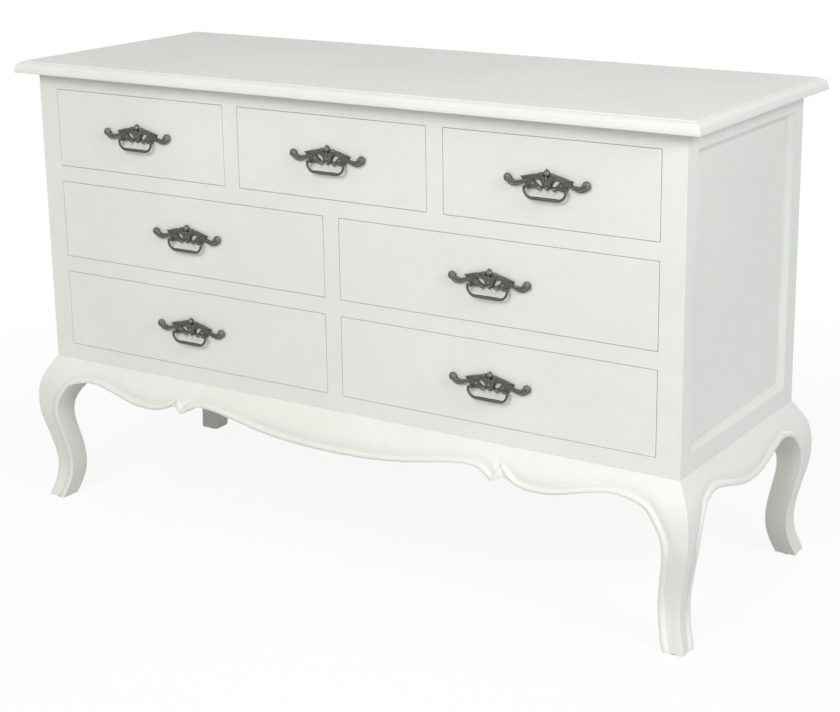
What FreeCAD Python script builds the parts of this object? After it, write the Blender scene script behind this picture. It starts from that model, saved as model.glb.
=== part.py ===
import FreeCAD, Part
import math
import os

# Painted chest of seven drawers on cabriole legs: three drawers over two pairs.
# Millimetres. +X to the right, +Y to the back, +Z up. The origin is on the floor,
# under the middle of the top board. Each piece is a solid of its own.

Vector = FreeCAD.Vector

# Drawers in each row, from the lowest row up
drawer_names = [
    ["bottom_left", "bottom_right"],
    ["middle_left", "middle_right"],
    ["top_left", "top_middle", "top_right"],
]

# Case
case_width = 1240.0
case_depth = 430.0
post_width = 40.0
post_depth = 36.0
rail_height = 27.5
rail_depth = 45.0
opening_height = 135.5
muntin_width = 30.0
muntin_depth = 45.0

# Top board and the moulded edge that runs all round it
top_overhang = 30.0
top_thickness = 20.0
top_edge_step = 1.6
top_edge_round = 11.0
top_edge_drop = 12.0
top_edge_lip = 1.2

# Framed sides: rails, recessed panel and the moulding in its rebate
side_rail_height = 30.0
side_rail_thickness = 24.0
panel_recess = 10.0
panel_thickness = 6.0
moulding_width = 11.0
moulding_quirk = 1.5
moulding_foot = 2.0

# Back
back_panel_thickness = 6.0
back_panel_inset = 4.0
back_rail_depth = 22.0

# Cabriole legs: how far the knee, the ankle and the toe stand out follows one curve
leg_height = 268.0
knee_proud = 28.0
leg_inset = 27.4
leg_wing_front = 92.0
leg_wing_side = 83.0
post_inset = 38.0
arch_foot_drop = 53.0
front_crest_drop = 34.5
side_crest_drop = 38.0

# Aprons between the legs
front_apron_drop = 62.8
side_apron_drop = 61.6
rear_apron_drop = 34.5
apron_thickness = 22.0

# Raised bead along the lower edge of the aprons and down the legs
bead_width = 9.0
bead_proud = 1.6

# Corner blocks inside the base, and the glides under the feet
block_leg = 42.0
block_height = 24.0
glide_radius = 13.0
glide_thickness = 2.5

# Web frames that carry and guide the drawers
runner_thickness = 18.0
runner_reach = 22.0
guide_height = 22.0
stop_length = 30.0
stop_depth = 16.0
stop_height = 5.0
stop_gap = 0.3
stop_place_shares = (0.25, 0.75)

# Drawers
drawer_gap = 1.5
drawer_side_gap = 1.0
drawer_lift = 0.3
drawer_front_thickness = 20.0
drawer_side_thickness = 12.0
drawer_back_thickness = 12.0
drawer_top_clearance = 17.2
drawer_back_gap = 12.0
drawer_bottom_thickness = 5.0
drawer_bottom_lift = 8.0
drawer_groove_depth = 5.0

# Pulls: cast plate on two posts, bail on two pins, two machine screws
plate_half_width = 73.2
plate_height = 33.3
plate_thickness = 4.0
plate_standoff = 4.0
plate_low = 11.0
plate_post_radius = 4.5
plate_boss_radius = 7.2
plate_boss_rise = 4.0
plate_bud_radius = 4.6
lug_length = 5.0
lug_radius = 3.1
pin_radius = 1.5
pin_clearance = 0.08
pin_height = 5.2
bail_radius = 2.1
bail_grip_radius = 2.7
bail_half_width = 35.2
bail_drop = 16.6
bail_corner_radius = 9.5
bail_plate_gap = 0.6
bail_lug_gap = 0.4
screw_radius = 2.0
screw_clearance = 0.1
screw_hole_radius = 2.6
screw_depth = 5.0
screw_head_radius = 4.2
screw_head_height = 2.6

# Reach of a cutting tool past the face that it leaves
overrun = 5.0

eighth_turn = math.radians(45)

# Leg curves. The outer one starts flush with the case: a pair is the share of the leg
# height and the share of the knee's reach. The inner one is measured inwards from the
# case corner: a pair is the share of the height below the arch's foot and of the inset.
outer_curve_shares = [
    (0.0, 0.0), (0.06, 0.36), (0.12, 0.68), (0.19, 0.90), (0.30, 1.0), (0.40, 0.94),
    (0.50, 0.74), (0.60, 0.53), (0.68, 0.39), (0.76, 0.325), (0.84, 0.38), (0.91, 0.53),
    (0.96, 0.69), (1.0, 0.79),
]
inner_curve_shares = [
    (0.06, 1.05), (0.12, 0.78), (0.20, 0.60), (0.26, 0.573), (0.34, 0.63), (0.43, 0.752),
    (0.54, 0.90), (0.63, 0.985), (0.71, 1.0), (0.79, 0.95), (0.87, 0.81), (0.94, 0.64),
    (1.0, 0.46),
]

# Levels of the leg's sections from the case down to the foot of the arch
knee_section_shares = [0.0, 0.25, 0.5, 0.75, 1.0]

# Underside of a knee block, from the crest of the arch to its foot at the leg: shares
# of the block's length and of the height between the two.
arch_curve_shares = [(0.0, 0.0), (0.42, 0.17), (0.74, 0.45), (0.93, 0.78), (1.0, 1.0)]

# Lower edges of the aprons, from the middle outwards. A pair is the share of the half
# span and the share of the drop. The front edge breaks at a small beak and its notch.
front_middle_shares = [
    (0.0, 1.0), (0.114, 0.977), (0.227, 0.904), (0.341, 0.762), (0.426, 0.638),
    (0.502, 0.577), (0.540, 0.614), (0.568, 0.734), (0.583, 0.821),
]
front_outer_shares = [
    (0.617, 0.686), (0.644, 0.750), (0.682, 0.853), (0.739, 0.903), (0.795, 0.866),
    (0.852, 0.758), (0.909, 0.643), (0.956, 0.568),
]
side_middle_shares = [
    (0.0, 1.0), (0.13, 0.993), (0.25, 0.966), (0.36, 0.919), (0.475, 0.860),
    (0.58, 0.800), (0.68, 0.745), (0.78, 0.693), (0.88, 0.645),
]

# Pull plate, right half, as shares of its half width and height
plate_crown_shares = [
    (0.075, 0.835), (0.136, 0.841), (0.190, 0.790), (0.245, 0.757), (0.327, 0.736),
    (0.436, 0.661), (0.518, 0.607), (0.617, 0.556),
]
plate_scroll_shares = [
    (0.580, 0.435), (0.647, 0.357), (0.756, 0.360), (0.822, 0.511), (0.904, 0.631),
    (0.990, 0.510), (0.985, 0.270), (0.885, 0.096), (0.738, 0.066), (0.608, 0.156),
    (0.525, 0.246),
]
plate_foot_shares = [
    (0.490, 0.085), (0.382, 0.078), (0.287, 0.060), (0.178, -0.004), (0.096, 0.054),
    (0.040, 0.060),
]
plate_eye_shares = [
    (0.118, 0.225), (0.150, 0.372), (0.212, 0.446), (0.288, 0.468), (0.215, 0.360),
    (0.165, 0.272),
]
plate_boss_shares = (0.893, 0.40)

# Places that follow from the sizes above
row_count = len(drawer_names)
floor = 0.0
glide_top = floor + glide_thickness
case_bottom = glide_top + leg_height
case_top = case_bottom + rail_height + row_count * (rail_height + opening_height)
half_width = case_width / 2
half_depth = case_depth / 2
front = -half_depth
back = half_depth
inner_half_width = half_width - post_width
panel_inner = half_width - panel_recess - panel_thickness
guide_outer = half_width - side_rail_thickness
back_rail_back = back - back_panel_inset - back_panel_thickness
back_rail_front = back_rail_back - back_rail_depth
pull_axis_out = plate_standoff + plate_thickness + bail_plate_gap + bail_radius


def box(x0, x1, y0, y1, z0, z1):
    """A box between the given planes."""
    return Part.makeBox(x1 - x0, y1 - y0, z1 - z0, Vector(x0, y0, z0))


def rail_top(level):
    """Top of the rail that many rails up; level 0 is the bottom rail."""
    return case_bottom + rail_height + level * (rail_height + opening_height)


def mirrored_x(shape):
    return shape.mirror(Vector(0, 0, 0), Vector(1, 0, 0))


def mirrored_y(shape):
    return shape.mirror(Vector(0, 0, 0), Vector(0, 1, 0))


def fused(shapes):
    """One clean solid from several that overlap or touch."""
    whole = shapes[0].fuse(shapes[1:]) if len(shapes) > 1 else shapes[0]
    return whole.removeSplitter()


def spline(points, start=None, end=None):
    """Smooth curve through the points, with end directions where they matter."""
    curve = Part.BSplineCurve()
    ends = {}
    if start is not None:
        ends = {"InitialTangent": start, "FinalTangent": end}
    curve.interpolate(points, **ends)
    return curve


def prism(edges, direction):
    """Solid swept from the closed outline along a straight direction."""
    return Part.Face(Part.Wire(edges)).extrude(direction)


def line(a, b):
    return Part.makeLine(a, b)


# Views of the right front leg. Axis 0 is the front view and axis 1 the side view. In
# both, "out" is measured outwards from the case face and "down" below the case.


def across(axis, out, down):
    if axis == 0:
        return Vector(half_width + out, 0, case_bottom - down)
    return Vector(0, front - out, case_bottom - down)


def outer_points(extra=0.0):
    """Knee, ankle and toe curve as pairs (out, down), moved outwards by extra."""
    return [(knee_proud * proud + extra, leg_height * down) for down, proud in outer_curve_shares]


def inner_points():
    """Back of the leg from the foot of the arch to the toe, as pairs (out, down), carried
    on straight past both ends."""
    points = [(-post_inset, arch_foot_drop)]
    shin = leg_height - arch_foot_drop
    points += [(-leg_inset * inset, arch_foot_drop + shin * down)
               for down, inset in inner_curve_shares]
    above = beyond(points[1], points[0], arch_foot_drop - overrun)
    below = beyond(points[-2], points[-1], leg_height + overrun)
    return [above] + points + [below]


def beyond(one, other, down):
    """The straight through two pairs, carried on to a given drop."""
    share = (down - other[1]) / (other[1] - one[1])
    return other[0] + (other[0] - one[0]) * share, down


def leg_curve(axis, pairs):
    """Spline through the pairs, with the drop as its parameter."""
    curve = Part.BSplineCurve()
    curve.interpolate(Points=[across(axis, out, down) for out, down in pairs],
                      Parameters=[down for _, down in pairs])
    return curve


def arch_curve(axis, wing, crest):
    """Underside of a knee block, from the crest of the arch to the leg."""
    span, rise = wing - post_inset, arch_foot_drop - crest
    points = [across(axis, -wing + span * along, crest + rise * down)
              for along, down in arch_curve_shares]
    inner = leg_curve(axis, inner_points())
    level = across(axis, 1, 0) - across(axis, 0, 0)
    return spline(points, level, Vector(*inner.tangent(arch_foot_drop)[0]))


def offset_points(curve, axis, distance, limits, count):
    """Points beside a stretch of the curve, on the side of the wood."""
    outwards = across(axis, 1, 0) - across(axis, 0, 0)
    first, last = limits
    points = []
    for step in range(count + 1):
        at = first + (last - first) * step / count
        direction = Vector(*curve.tangent(at)[0])
        side = Vector(0, 0, direction.dot(outwards)) - outwards * direction.z
        points.append(curve.value(at) + side * distance)
    return points


def column(tracks, drops, start_slopes, end_slopes):
    """Upright solid whose corners in plan follow tracks, lists of (out X, out Y) at the
    given drops; the slopes, in the same pairs, are how the tracks start and end."""
    curves = []
    for track, start, end in zip(tracks, start_slopes, end_slopes):
        curve = Part.BSplineCurve()
        curve.interpolate(Points=[corner_point(pair, down) for pair, down in zip(track, drops)],
                          Parameters=drops, InitialTangent=corner_slope(start),
                          FinalTangent=corner_slope(end), Scale=False)
        curves.append(curve.toShape())
    sides = [Part.makeRuledSurface(one, other)
             for one, other in zip(curves, curves[1:] + curves[:1])]
    caps = []
    for end in (0, -1):
        ring = [corner_point(track[end], drops[end]) for track in tracks]
        caps.append(Part.Face(Part.makePolygon(ring + ring[:1])))
    shell = Part.makeShell(sides + caps)
    shell.sewShape()
    return Part.makeSolid(shell)


def corner_point(pair, down):
    return Vector(half_width + pair[0], front - pair[1], case_bottom - down)


def corner_slope(pair):
    return Vector(pair[0], -pair[1], -1)


def curve_at(curve, down):
    """How far out a front view's curve is at a drop, and its slope there."""
    slope = curve.getD1(down)[1]
    return curve.value(down).x - half_width, slope.x


def plan_tracks(drops, outer, inner, bead):
    """Corners of the leg's plan at each drop: a square, with a raised strip at the inner
    end of both outer faces if bead gives (width, height)."""
    width, proud = bead
    tracks = []
    slopes = []
    for down in drops:
        (out, out_slope), (back_in, in_slope) = curve_at(outer, down), inner(down)
        ends = [(back_in, back_in), (back_in, out + proud), (back_in + width, out + proud),
                (back_in + width, out), (out, out), (out, back_in + width),
                (out + proud, back_in + width), (out + proud, back_in)]
        ways = [(in_slope, in_slope), (in_slope, out_slope), (in_slope, out_slope),
                (in_slope, out_slope), (out_slope, out_slope), (out_slope, in_slope),
                (out_slope, in_slope), (out_slope, in_slope)]
        if not width:
            ends, ways = [[pairs[n] for n in (0, 1, 4, 7)] for pairs in (ends, ways)]
        tracks.append(ends)
        slopes.append(ways)
    return list(zip(*tracks)), slopes[0], slopes[-1]


def front_right_leg():
    """Leg with its knee, crisp outer corner, sawn inner faces and beads."""
    outer = leg_curve(0, outer_points())
    inner = leg_curve(0, inner_points())
    knee_drops = [arch_foot_drop * share for share in knee_section_shares]
    shin = leg_height - arch_foot_drop
    shin_drops = [arch_foot_drop] + [arch_foot_drop + shin * down
                                     for down, _ in inner_curve_shares]
    tracks, first, last = plan_tracks(knee_drops, outer, lambda down: (-post_inset, 0), (0, 0))
    knee = column(tracks, knee_drops, first, last)
    tracks, first, last = plan_tracks(shin_drops, outer, lambda down: curve_at(inner, down),
                                      (bead_width, bead_proud))
    return knee.fuse(column(tracks, shin_drops, first, last))


def sweep_view(edges, axis, inwards):
    """Sweeps an outline of one view from outside the knee to a depth inwards."""
    reach = knee_proud + overrun
    if axis == 0:
        start, way = Vector(0, front - reach, 0), Vector(0, reach + inwards, 0)
    else:
        start, way = Vector(half_width + reach, 0, 0), Vector(-reach - inwards, 0, 0)
    swept = prism(edges, way)
    swept.translate(start)
    return swept


def bead_band(axis, wing, crest):
    """The strip of one view that the bead covers, along the arch and down the leg."""
    arch = arch_curve(axis, wing, crest)
    inner = leg_curve(axis, inner_points())
    count = len(inner_curve_shares)
    arch_limits = (arch.FirstParameter, arch.LastParameter)
    leg_limits = (arch_foot_drop, leg_height + overrun)
    raised = offset_points(arch, axis, bead_width, arch_limits, count)
    raised += offset_points(inner, axis, bead_width, leg_limits, 2 * count)[1:]
    edges = [arch.toShape(), inner.toShape(*leg_limits),
             line(inner.value(inner.LastParameter), raised[-1]), spline(raised).toShape(),
             line(raised[0], across(axis, -wing, crest))]
    return sweep_view(edges, axis, 0)


def face_slice(axis, thickness, extra, start, end):
    """Wood from a depth behind the case face out to the knee curve plus extra, swept
    along the face from start to end. Axis 0 faces right and axis 1 faces front."""
    outer = leg_curve(axis, outer_points(extra))
    first, last = outer.value(outer.FirstParameter), outer.value(outer.LastParameter)
    inner_top = across(axis, -thickness, 0)
    inner_foot = across(axis, -thickness, leg_height)
    edges = [line(inner_top, first), outer.toShape(), line(last, inner_foot),
             line(inner_foot, inner_top)]
    face = Part.Face(Part.Wire(edges))
    along = Vector(1, 0, 0) if axis == 1 else Vector(0, 1, 0)
    face.translate(along * start)
    return face.extrude(along * (end - start))


def wing_of(axis):
    """Reach of the knee block from the case corner, and the drop of its crest."""
    return (leg_wing_front, front_crest_drop) if axis == 0 else (leg_wing_side, side_crest_drop)


def along_face(axis, inset):
    """The place along X (axis 0) or Y (axis 1) that lies inset from the case corner."""
    return half_width - inset if axis == 0 else front + inset


def knee_block(axis):
    """Glued block that carries the arch of the apron over to the leg, with its bead."""
    wing, crest = wing_of(axis)
    limits = sorted((along_face(axis, wing), along_face(axis, post_inset)))
    arch = arch_curve(axis, wing, crest)
    edges = [arch.toShape(),
             line(across(axis, -post_inset, arch_foot_drop), across(axis, -post_inset, 0)),
             line(across(axis, -post_inset, 0), across(axis, -wing, 0)),
             line(across(axis, -wing, 0), across(axis, -wing, crest))]
    view = sweep_view(edges, axis, apron_thickness)
    body = face_slice(1 - axis, apron_thickness, 0, *limits).common(view)
    bead = face_slice(1 - axis, 0, bead_proud, *limits).common(bead_band(axis, wing, crest))
    return fused([body, bead])


def all_corners(shape):
    """The right front corner's piece and its three mirror images."""
    return [shape, mirrored_x(shape), mirrored_y(shape), mirrored_x(mirrored_y(shape))]


def legs():
    front_right, front_left, rear_right, rear_left = all_corners(front_right_leg())
    blocks = all_corners(knee_block(0)) + all_corners(knee_block(1))
    return {
        "front_right_leg": [front_right],
        "front_left_leg": [front_left],
        "rear_right_leg": [rear_right],
        "rear_left_leg": [rear_left],
        "knee_blocks": blocks,
    }


def half_edge(parts, half_span, drop, crest, lift):
    """Curves of an apron's lower edge, as lists of (along, down) from the middle out."""
    runs = [[(half_span * a, drop * d - lift) for a, d in shares] for shares in parts]
    runs[-1].append((half_span, crest - lift))
    return runs


def edge_curves(runs, place):
    """Splines through the runs of a half edge, level at the middle and at the crest."""
    level = place(1, 0) - place(0, 0)
    curves = []
    for run in runs:
        points = [place(along, down) for along, down in run]
        start = level if run is runs[0] else points[1] - points[0]
        end = level if run is runs[-1] else points[-1] - points[-2]
        curves.append(spline(points, start, end))
    return curves


def edge_outline(runs, place):
    """Half of an apron's outline, from its lower edge up to the case."""
    curves = edge_curves(runs, place)
    edges = [curve.toShape() for curve in curves]
    for one, other in zip(curves, curves[1:]):
        edges.append(line(one.value(one.LastParameter), other.value(other.FirstParameter)))
    span = runs[-1][-1][0]
    low_out = curves[-1].value(curves[-1].LastParameter)
    low_middle = curves[0].value(curves[0].FirstParameter)
    edges += [line(low_out, place(span, 0)), line(place(span, 0), place(0, 0)),
              line(place(0, 0), low_middle)]
    return [edge for group in Part.sortEdges(edges) for edge in group]


def half_apron(axis, parts, drop):
    """Right half (axis 0) or rear half (axis 1) of an apron, with its raised bead."""
    wing, crest = wing_of(axis)
    span = (half_width if axis == 0 else half_depth) - wing

    def place(along, down):
        height = case_bottom - down
        return Vector(along, 0, height) if axis == 0 else Vector(0, along, height)

    view, above = [sweep_view(edge_outline(half_edge(parts, span, drop, crest, lift), place),
                              axis, apron_thickness + overrun) for lift in (0, bead_width)]
    body = view.common(face_slice(1 - axis, apron_thickness, 0, 0, span))
    bead = view.common(face_slice(1 - axis, 0, bead_proud, 0, span)).cut(above)
    return fused([body, bead])


def front_apron():
    """Serpentine apron between the front legs."""
    half = half_apron(0, [front_middle_shares, front_outer_shares], front_apron_drop)
    return fused([half, mirrored_x(half)])


def right_apron():
    """Shaped apron between the legs of the right side."""
    half = half_apron(1, [side_middle_shares], side_apron_drop)
    return fused([half, mirrored_y(half)])


def rear_apron():
    """Plain rail between the rear legs, with the same moulded face."""
    span = half_width - leg_wing_front
    piece = face_slice(1, apron_thickness, 0, -span, span)
    piece = piece.common(box(-span, span, front - knee_proud, front + apron_thickness,
                             case_bottom - rear_apron_drop, case_bottom))
    return mirrored_y(piece)


def aprons():
    right = right_apron()
    return {
        "front_apron": [front_apron()],
        "right_apron": [right],
        "left_apron": [mirrored_x(right)],
        "rear_apron": [rear_apron()],
    }


def corner_blocks():
    """Glue blocks round the inner corners of the legs, under the case."""
    post_x, post_y = half_width - post_inset, front + post_inset
    back_x, back_y = half_width - apron_thickness, front + apron_thickness
    plan = [(post_x, back_y), (post_x - block_leg, back_y), (back_x, post_y + block_leg),
            (back_x, post_y), (post_x, post_y)]
    ring = [Vector(x, y, case_bottom - block_height) for x, y in plan + plan[:1]]
    return all_corners(Part.Face(Part.makePolygon(ring)).extrude(Vector(0, 0, block_height)))


def foot_middle():
    """How far outside the case corner the middle of a foot lies, along X and along Y."""
    return (knee_proud * outer_curve_shares[-1][1] - leg_inset * inner_curve_shares[-1][1]) / 2


def foot_glides():
    out = foot_middle()
    width = knee_proud * outer_curve_shares[-1][1] + leg_inset * inner_curve_shares[-1][1]
    radius = min(glide_radius, width / 2)
    glides = []
    for x_sign in (-1, 1):
        for y_sign in (-1, 1):
            centre = Vector(x_sign * (half_width + out), y_sign * (half_depth + out), floor)
            glides.append(Part.makeCylinder(radius, glide_thickness, centre))
    return glides


def moulded_edge(half_size, axis):
    """The top board's section: both long edges moulded, swept across the board."""
    low, high = case_top, case_top + top_thickness
    face_low = high - top_edge_step - top_edge_drop
    lip = top_edge_lip

    def at(out, height):
        return Vector(out, 0, height) if axis == 0 else Vector(0, out, height)

    def side(sign):
        edge_in = half_size - lip - top_edge_round
        centre = at(sign * edge_in, face_low)
        middle = centre + at(sign * top_edge_round * math.cos(eighth_turn),
                             top_edge_drop * math.sin(eighth_turn))
        round_top = at(sign * edge_in, high - top_edge_step)
        round_low = at(sign * (half_size - lip), face_low)
        arc = spline([round_top, middle, round_low], at(sign, 0), at(0, -1))
        return [
            (at(sign * (edge_in - lip), high), at(sign * (edge_in - lip), high - top_edge_step)),
            (at(sign * (edge_in - lip), high - top_edge_step), round_top),
            arc,
            (round_low, at(sign * half_size, face_low - lip)),
            (at(sign * half_size, face_low - lip), at(sign * half_size, low)),
        ]

    edges = []
    for sign in (-1, 1):
        for item in side(sign):
            edges.append(item.toShape() if isinstance(item, Part.BSplineCurve) else line(*item))
    inset = half_size - 2 * lip - top_edge_round
    edges.append(line(at(-inset, high), at(inset, high)))
    edges.append(line(at(-half_size, low), at(half_size, low)))
    reach = half_width + half_depth + top_overhang
    way = Vector(0, 2 * reach, 0) if axis == 0 else Vector(2 * reach, 0, 0)
    swept = Part.Face(Part.Wire(Part.__sortEdges__(edges))).extrude(way)
    swept.translate(way * -0.5)
    return swept


def top_board():
    long_way = moulded_edge(half_width + top_overhang, 0)
    short_way = moulded_edge(half_depth + top_overhang, 1)
    return long_way.common(short_way)


def corner_posts():
    """Four posts; each is the stile of the front or back and of a side in one piece."""
    return all_corners(box(inner_half_width, half_width, front, front + post_depth,
                           case_bottom, case_top))


def front_rails():
    """Four rails between the front posts; each carries the fronts of a row above it."""
    rails = []
    for level in range(row_count + 1):
        high = rail_top(level)
        rails.append(box(-inner_half_width, inner_half_width, front, front + rail_depth,
                         high - rail_height, high))
    return rails


def rear_rails():
    rails = []
    for level in range(row_count + 1):
        high = rail_top(level)
        rails.append(box(-inner_half_width, inner_half_width, back_rail_front, back_rail_back,
                         high - rail_height, high))
    return rails


def row_openings(row):
    """Left and right limits of the drawer openings in a row; row 0 is the lowest."""
    count = len(drawer_names[row])
    width = (2 * inner_half_width - (count - 1) * muntin_width) / count
    start = -inner_half_width
    return [(start + n * (width + muntin_width), start + n * (width + muntin_width) + width)
            for n in range(count)]


def muntins():
    """Uprights between the drawers of each row."""
    pieces = []
    for row in range(row_count):
        openings = row_openings(row)
        low = rail_top(row)
        for (_, x0), (x1, _) in zip(openings, openings[1:]):
            pieces.append(box(x0, x1, front, front + muntin_depth, low, low + opening_height))
    return pieces


def side_rails(sign):
    """Top and bottom rails of a framed side."""
    x0, x1 = sorted((sign * half_width, sign * (half_width - side_rail_thickness)))
    y0, y1 = front + post_depth, back - post_depth
    return [box(x0, x1, y0, y1, case_bottom, case_bottom + side_rail_height),
            box(x0, x1, y0, y1, case_top - side_rail_height, case_top)]


def side_panel(sign):
    """Flat panel that stands in the frame, level with the backs of its rails."""
    x0, x1 = sorted((sign * (half_width - panel_recess), sign * panel_inner))
    return box(x0, x1, front + post_depth, back - post_depth,
               case_bottom + side_rail_height, case_top - side_rail_height)


def moulding_section(along_start, along_end, corner, inward):
    """One strip of the panel moulding, swept between two points with square ends."""
    outward = Vector(1, 0, 0)
    depth = panel_recess - moulding_quirk
    foot = corner + inward * moulding_width
    lift = outward * moulding_foot
    bulge = corner + inward * moulding_width * math.sin(eighth_turn)
    bulge = bulge + outward * (moulding_foot + (depth - moulding_foot) * math.sin(eighth_turn))
    curve = spline([corner + outward * depth, bulge, foot + lift])
    edges = [line(corner, corner + outward * depth), curve.toShape(), line(foot + lift, foot),
             line(foot, corner)]
    face = Part.Face(Part.Wire(edges))
    face.translate(along_start)
    return face.extrude(along_end - along_start)


def side_moulding():
    """Four mitred strips round the panel of the right side."""
    y0, y1 = front + post_depth, back - post_depth
    z0, z1 = case_bottom + side_rail_height, case_top - side_rail_height
    plane = half_width - panel_recess
    strips = []
    corners = {
        "low": ((y0, z0), (y1, z0), Vector(0, 0, 1)),
        "high": ((y0, z1), (y1, z1), Vector(0, 0, -1)),
        "front": ((y0, z0), (y0, z1), Vector(0, 1, 0)),
        "rear": ((y1, z0), (y1, z1), Vector(0, -1, 0)),
    }
    w = moulding_width
    for (ya, za), (yb, zb), inward in corners.values():
        a, b = Vector(0, ya, za), Vector(0, yb, zb)
        way = b - a
        way.normalize()
        strip = moulding_section(a, b, Vector(plane, 0, 0), inward)
        mitre = Part.makePolygon([
            a + Vector(plane, 0, 0), b + Vector(plane, 0, 0),
            b + Vector(plane, 0, 0) + inward * w - way * w,
            a + Vector(plane, 0, 0) + inward * w + way * w, a + Vector(plane, 0, 0)])
        strips.append(strip.common(Part.Face(mitre).extrude(Vector(panel_recess, 0, 0))))
    return strips


def back_panel():
    return box(-inner_half_width, inner_half_width, back_rail_back,
               back_rail_back + back_panel_thickness, case_bottom, case_top)


def runner_lines(row):
    """Where runners lie under a row: (guide's left, guide's right), from left to right."""
    openings = row_openings(row)
    lines = [(-guide_outer, openings[0][0])]
    lines += [(left[1], right[0]) for left, right in zip(openings, openings[1:])]
    lines.append((openings[-1][1], guide_outer))
    return lines


def runners():
    """Boards from the front rail to the rear rail, level with the rails' tops."""
    boards = []
    for row in range(row_count):
        high = rail_top(row)
        for x0, x1 in runner_lines(row):
            left = max(x0 - runner_reach, -inner_half_width)
            right = min(x1 + runner_reach, inner_half_width)
            boards.append(box(left, right, front + rail_depth, back_rail_front,
                              high - runner_thickness, high))
    return boards


def guides():
    """Strips that keep the drawers from wandering sideways. The outer ones run from post
    to post and carry the runners; the inner ones stand on a runner."""
    strips = []
    for row in range(row_count):
        low = rail_top(row)
        for x0, x1 in runner_lines(row)[1:-1]:
            strips.append(box(x0, x1, front + rail_depth, back_rail_front,
                              low, low + guide_height))
        outer = box(inner_half_width, guide_outer, front + post_depth, back - post_depth,
                    low - runner_thickness, low + guide_height)
        strips += [outer, mirrored_x(outer)]
    return strips


def kickers():
    """Battens under the top board that keep the upper drawers level when open."""
    low = rail_top(row_count) - rail_height
    battens = []
    for x0, x1 in runner_lines(row_count - 1):
        left = max(x0 - runner_reach, -inner_half_width)
        right = min(x1 + runner_reach, inner_half_width)
        battens.append(box(left, right, front + rail_depth, back_rail_front, low, case_top))
    return battens


def drawer_stops():
    """Two blocks on the rail behind each drawer front."""
    blocks = []
    y0 = front + drawer_front_thickness + stop_gap
    for row in range(row_count):
        low = rail_top(row)
        for x0, x1 in row_openings(row):
            for share in stop_place_shares:
                middle = x0 + (x1 - x0) * share
                blocks.append(box(middle - stop_length / 2, middle + stop_length / 2,
                                  y0, y0 + stop_depth, low, low + stop_height))
    return blocks


def screw_holes(centre_x, centre_z, radius, y0, y1):
    """Cylinders on the two screw axes of a pull, along Y."""
    spacing = pull_screw_spacing()
    return [Part.makeCylinder(radius, y1 - y0, Vector(centre_x + sign * spacing / 2, y0, centre_z),
                              Vector(0, 1, 0)) for sign in (-1, 1)]


def pull_screw_spacing():
    """The posts stand behind the bail's lugs."""
    return 2 * (bail_half_width - bail_radius - bail_lug_gap - lug_length / 2)


def drawer(x0, x1, row):
    """The wooden pieces of one drawer: front, box of three boards, and bottom."""
    low = rail_top(row)
    fx0, fx1 = x0 + drawer_gap, x1 - drawer_gap
    fz0, fz1 = low + drawer_gap, low + opening_height - drawer_gap
    sx0, sx1 = x0 + drawer_side_gap, x1 - drawer_side_gap
    sz0 = low + drawer_lift
    sz1 = low + opening_height - drawer_top_clearance
    y_front = front + drawer_front_thickness
    y_back = back_rail_front - drawer_back_gap
    inner0, inner1 = sx0 + drawer_side_thickness, sx1 - drawer_side_thickness
    panel_z0 = sz0 + drawer_bottom_lift
    panel_z1 = panel_z0 + drawer_bottom_thickness
    groove = drawer_groove_depth
    bottom = box(inner0 - groove, inner1 + groove, y_front - groove, y_back,
                 panel_z0, panel_z1)

    face = box(fx0, fx1, front, y_front, fz0, fz1).cut(bottom)
    pull_z = (fz0 + fz1) / 2 - plate_low + pin_height
    for hole in screw_holes((x0 + x1) / 2, pull_z, screw_hole_radius,
                            front - overrun, y_front + overrun):
        face = face.cut(hole)
    left = box(sx0, inner0, y_front, y_back, sz0, sz1).cut(bottom)
    right = box(inner1, sx1, y_front, y_back, sz0, sz1).cut(bottom)
    rear = box(inner0, inner1, y_back - drawer_back_thickness, y_back, panel_z1, sz1)
    return face, [left, right, rear], bottom


def plate_half():
    """Right half of the pull plate, flat, standing on z 0 with its back at y 0."""
    def at(pair):
        return Vector(plate_half_width * pair[0], 0, plate_height * pair[1])

    crown = [at(pair) for pair in plate_crown_shares]
    scroll = [at(pair) for pair in plate_scroll_shares]
    foot = [at(pair) for pair in plate_foot_shares]
    top, low = Vector(0, 0, plate_height), Vector(0, 0, 0)
    edges = [
        line(top, crown[0]), spline(crown).toShape(), line(crown[-1], scroll[0]),
        spline(scroll).toShape(), line(scroll[-1], foot[0]), spline(foot).toShape(),
        line(foot[-1], low), line(low, top),
    ]
    eye = [at(pair) for pair in plate_eye_shares]
    ring = Part.BSplineCurve()
    ring.interpolate(eye, PeriodicFlag=True)
    hole = prism([ring.toShape()], Vector(0, -plate_thickness - 2 * overrun, 0))
    hole.translate(Vector(0, overrun, 0))
    return prism(edges, Vector(0, -plate_thickness, 0)).cut(hole)


def dome(radius, rise, centre):
    """Low dome on the plate's face, part of a ball."""
    ball_radius = (radius * radius + rise * rise) / (2 * rise)
    ball = Part.makeSphere(ball_radius, centre + Vector(0, ball_radius - rise, 0))
    size = 2 * ball_radius
    return ball.common(box(centre.x - size, centre.x + size, centre.y - size, centre.y,
                           centre.z - size, centre.z + size))


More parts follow.
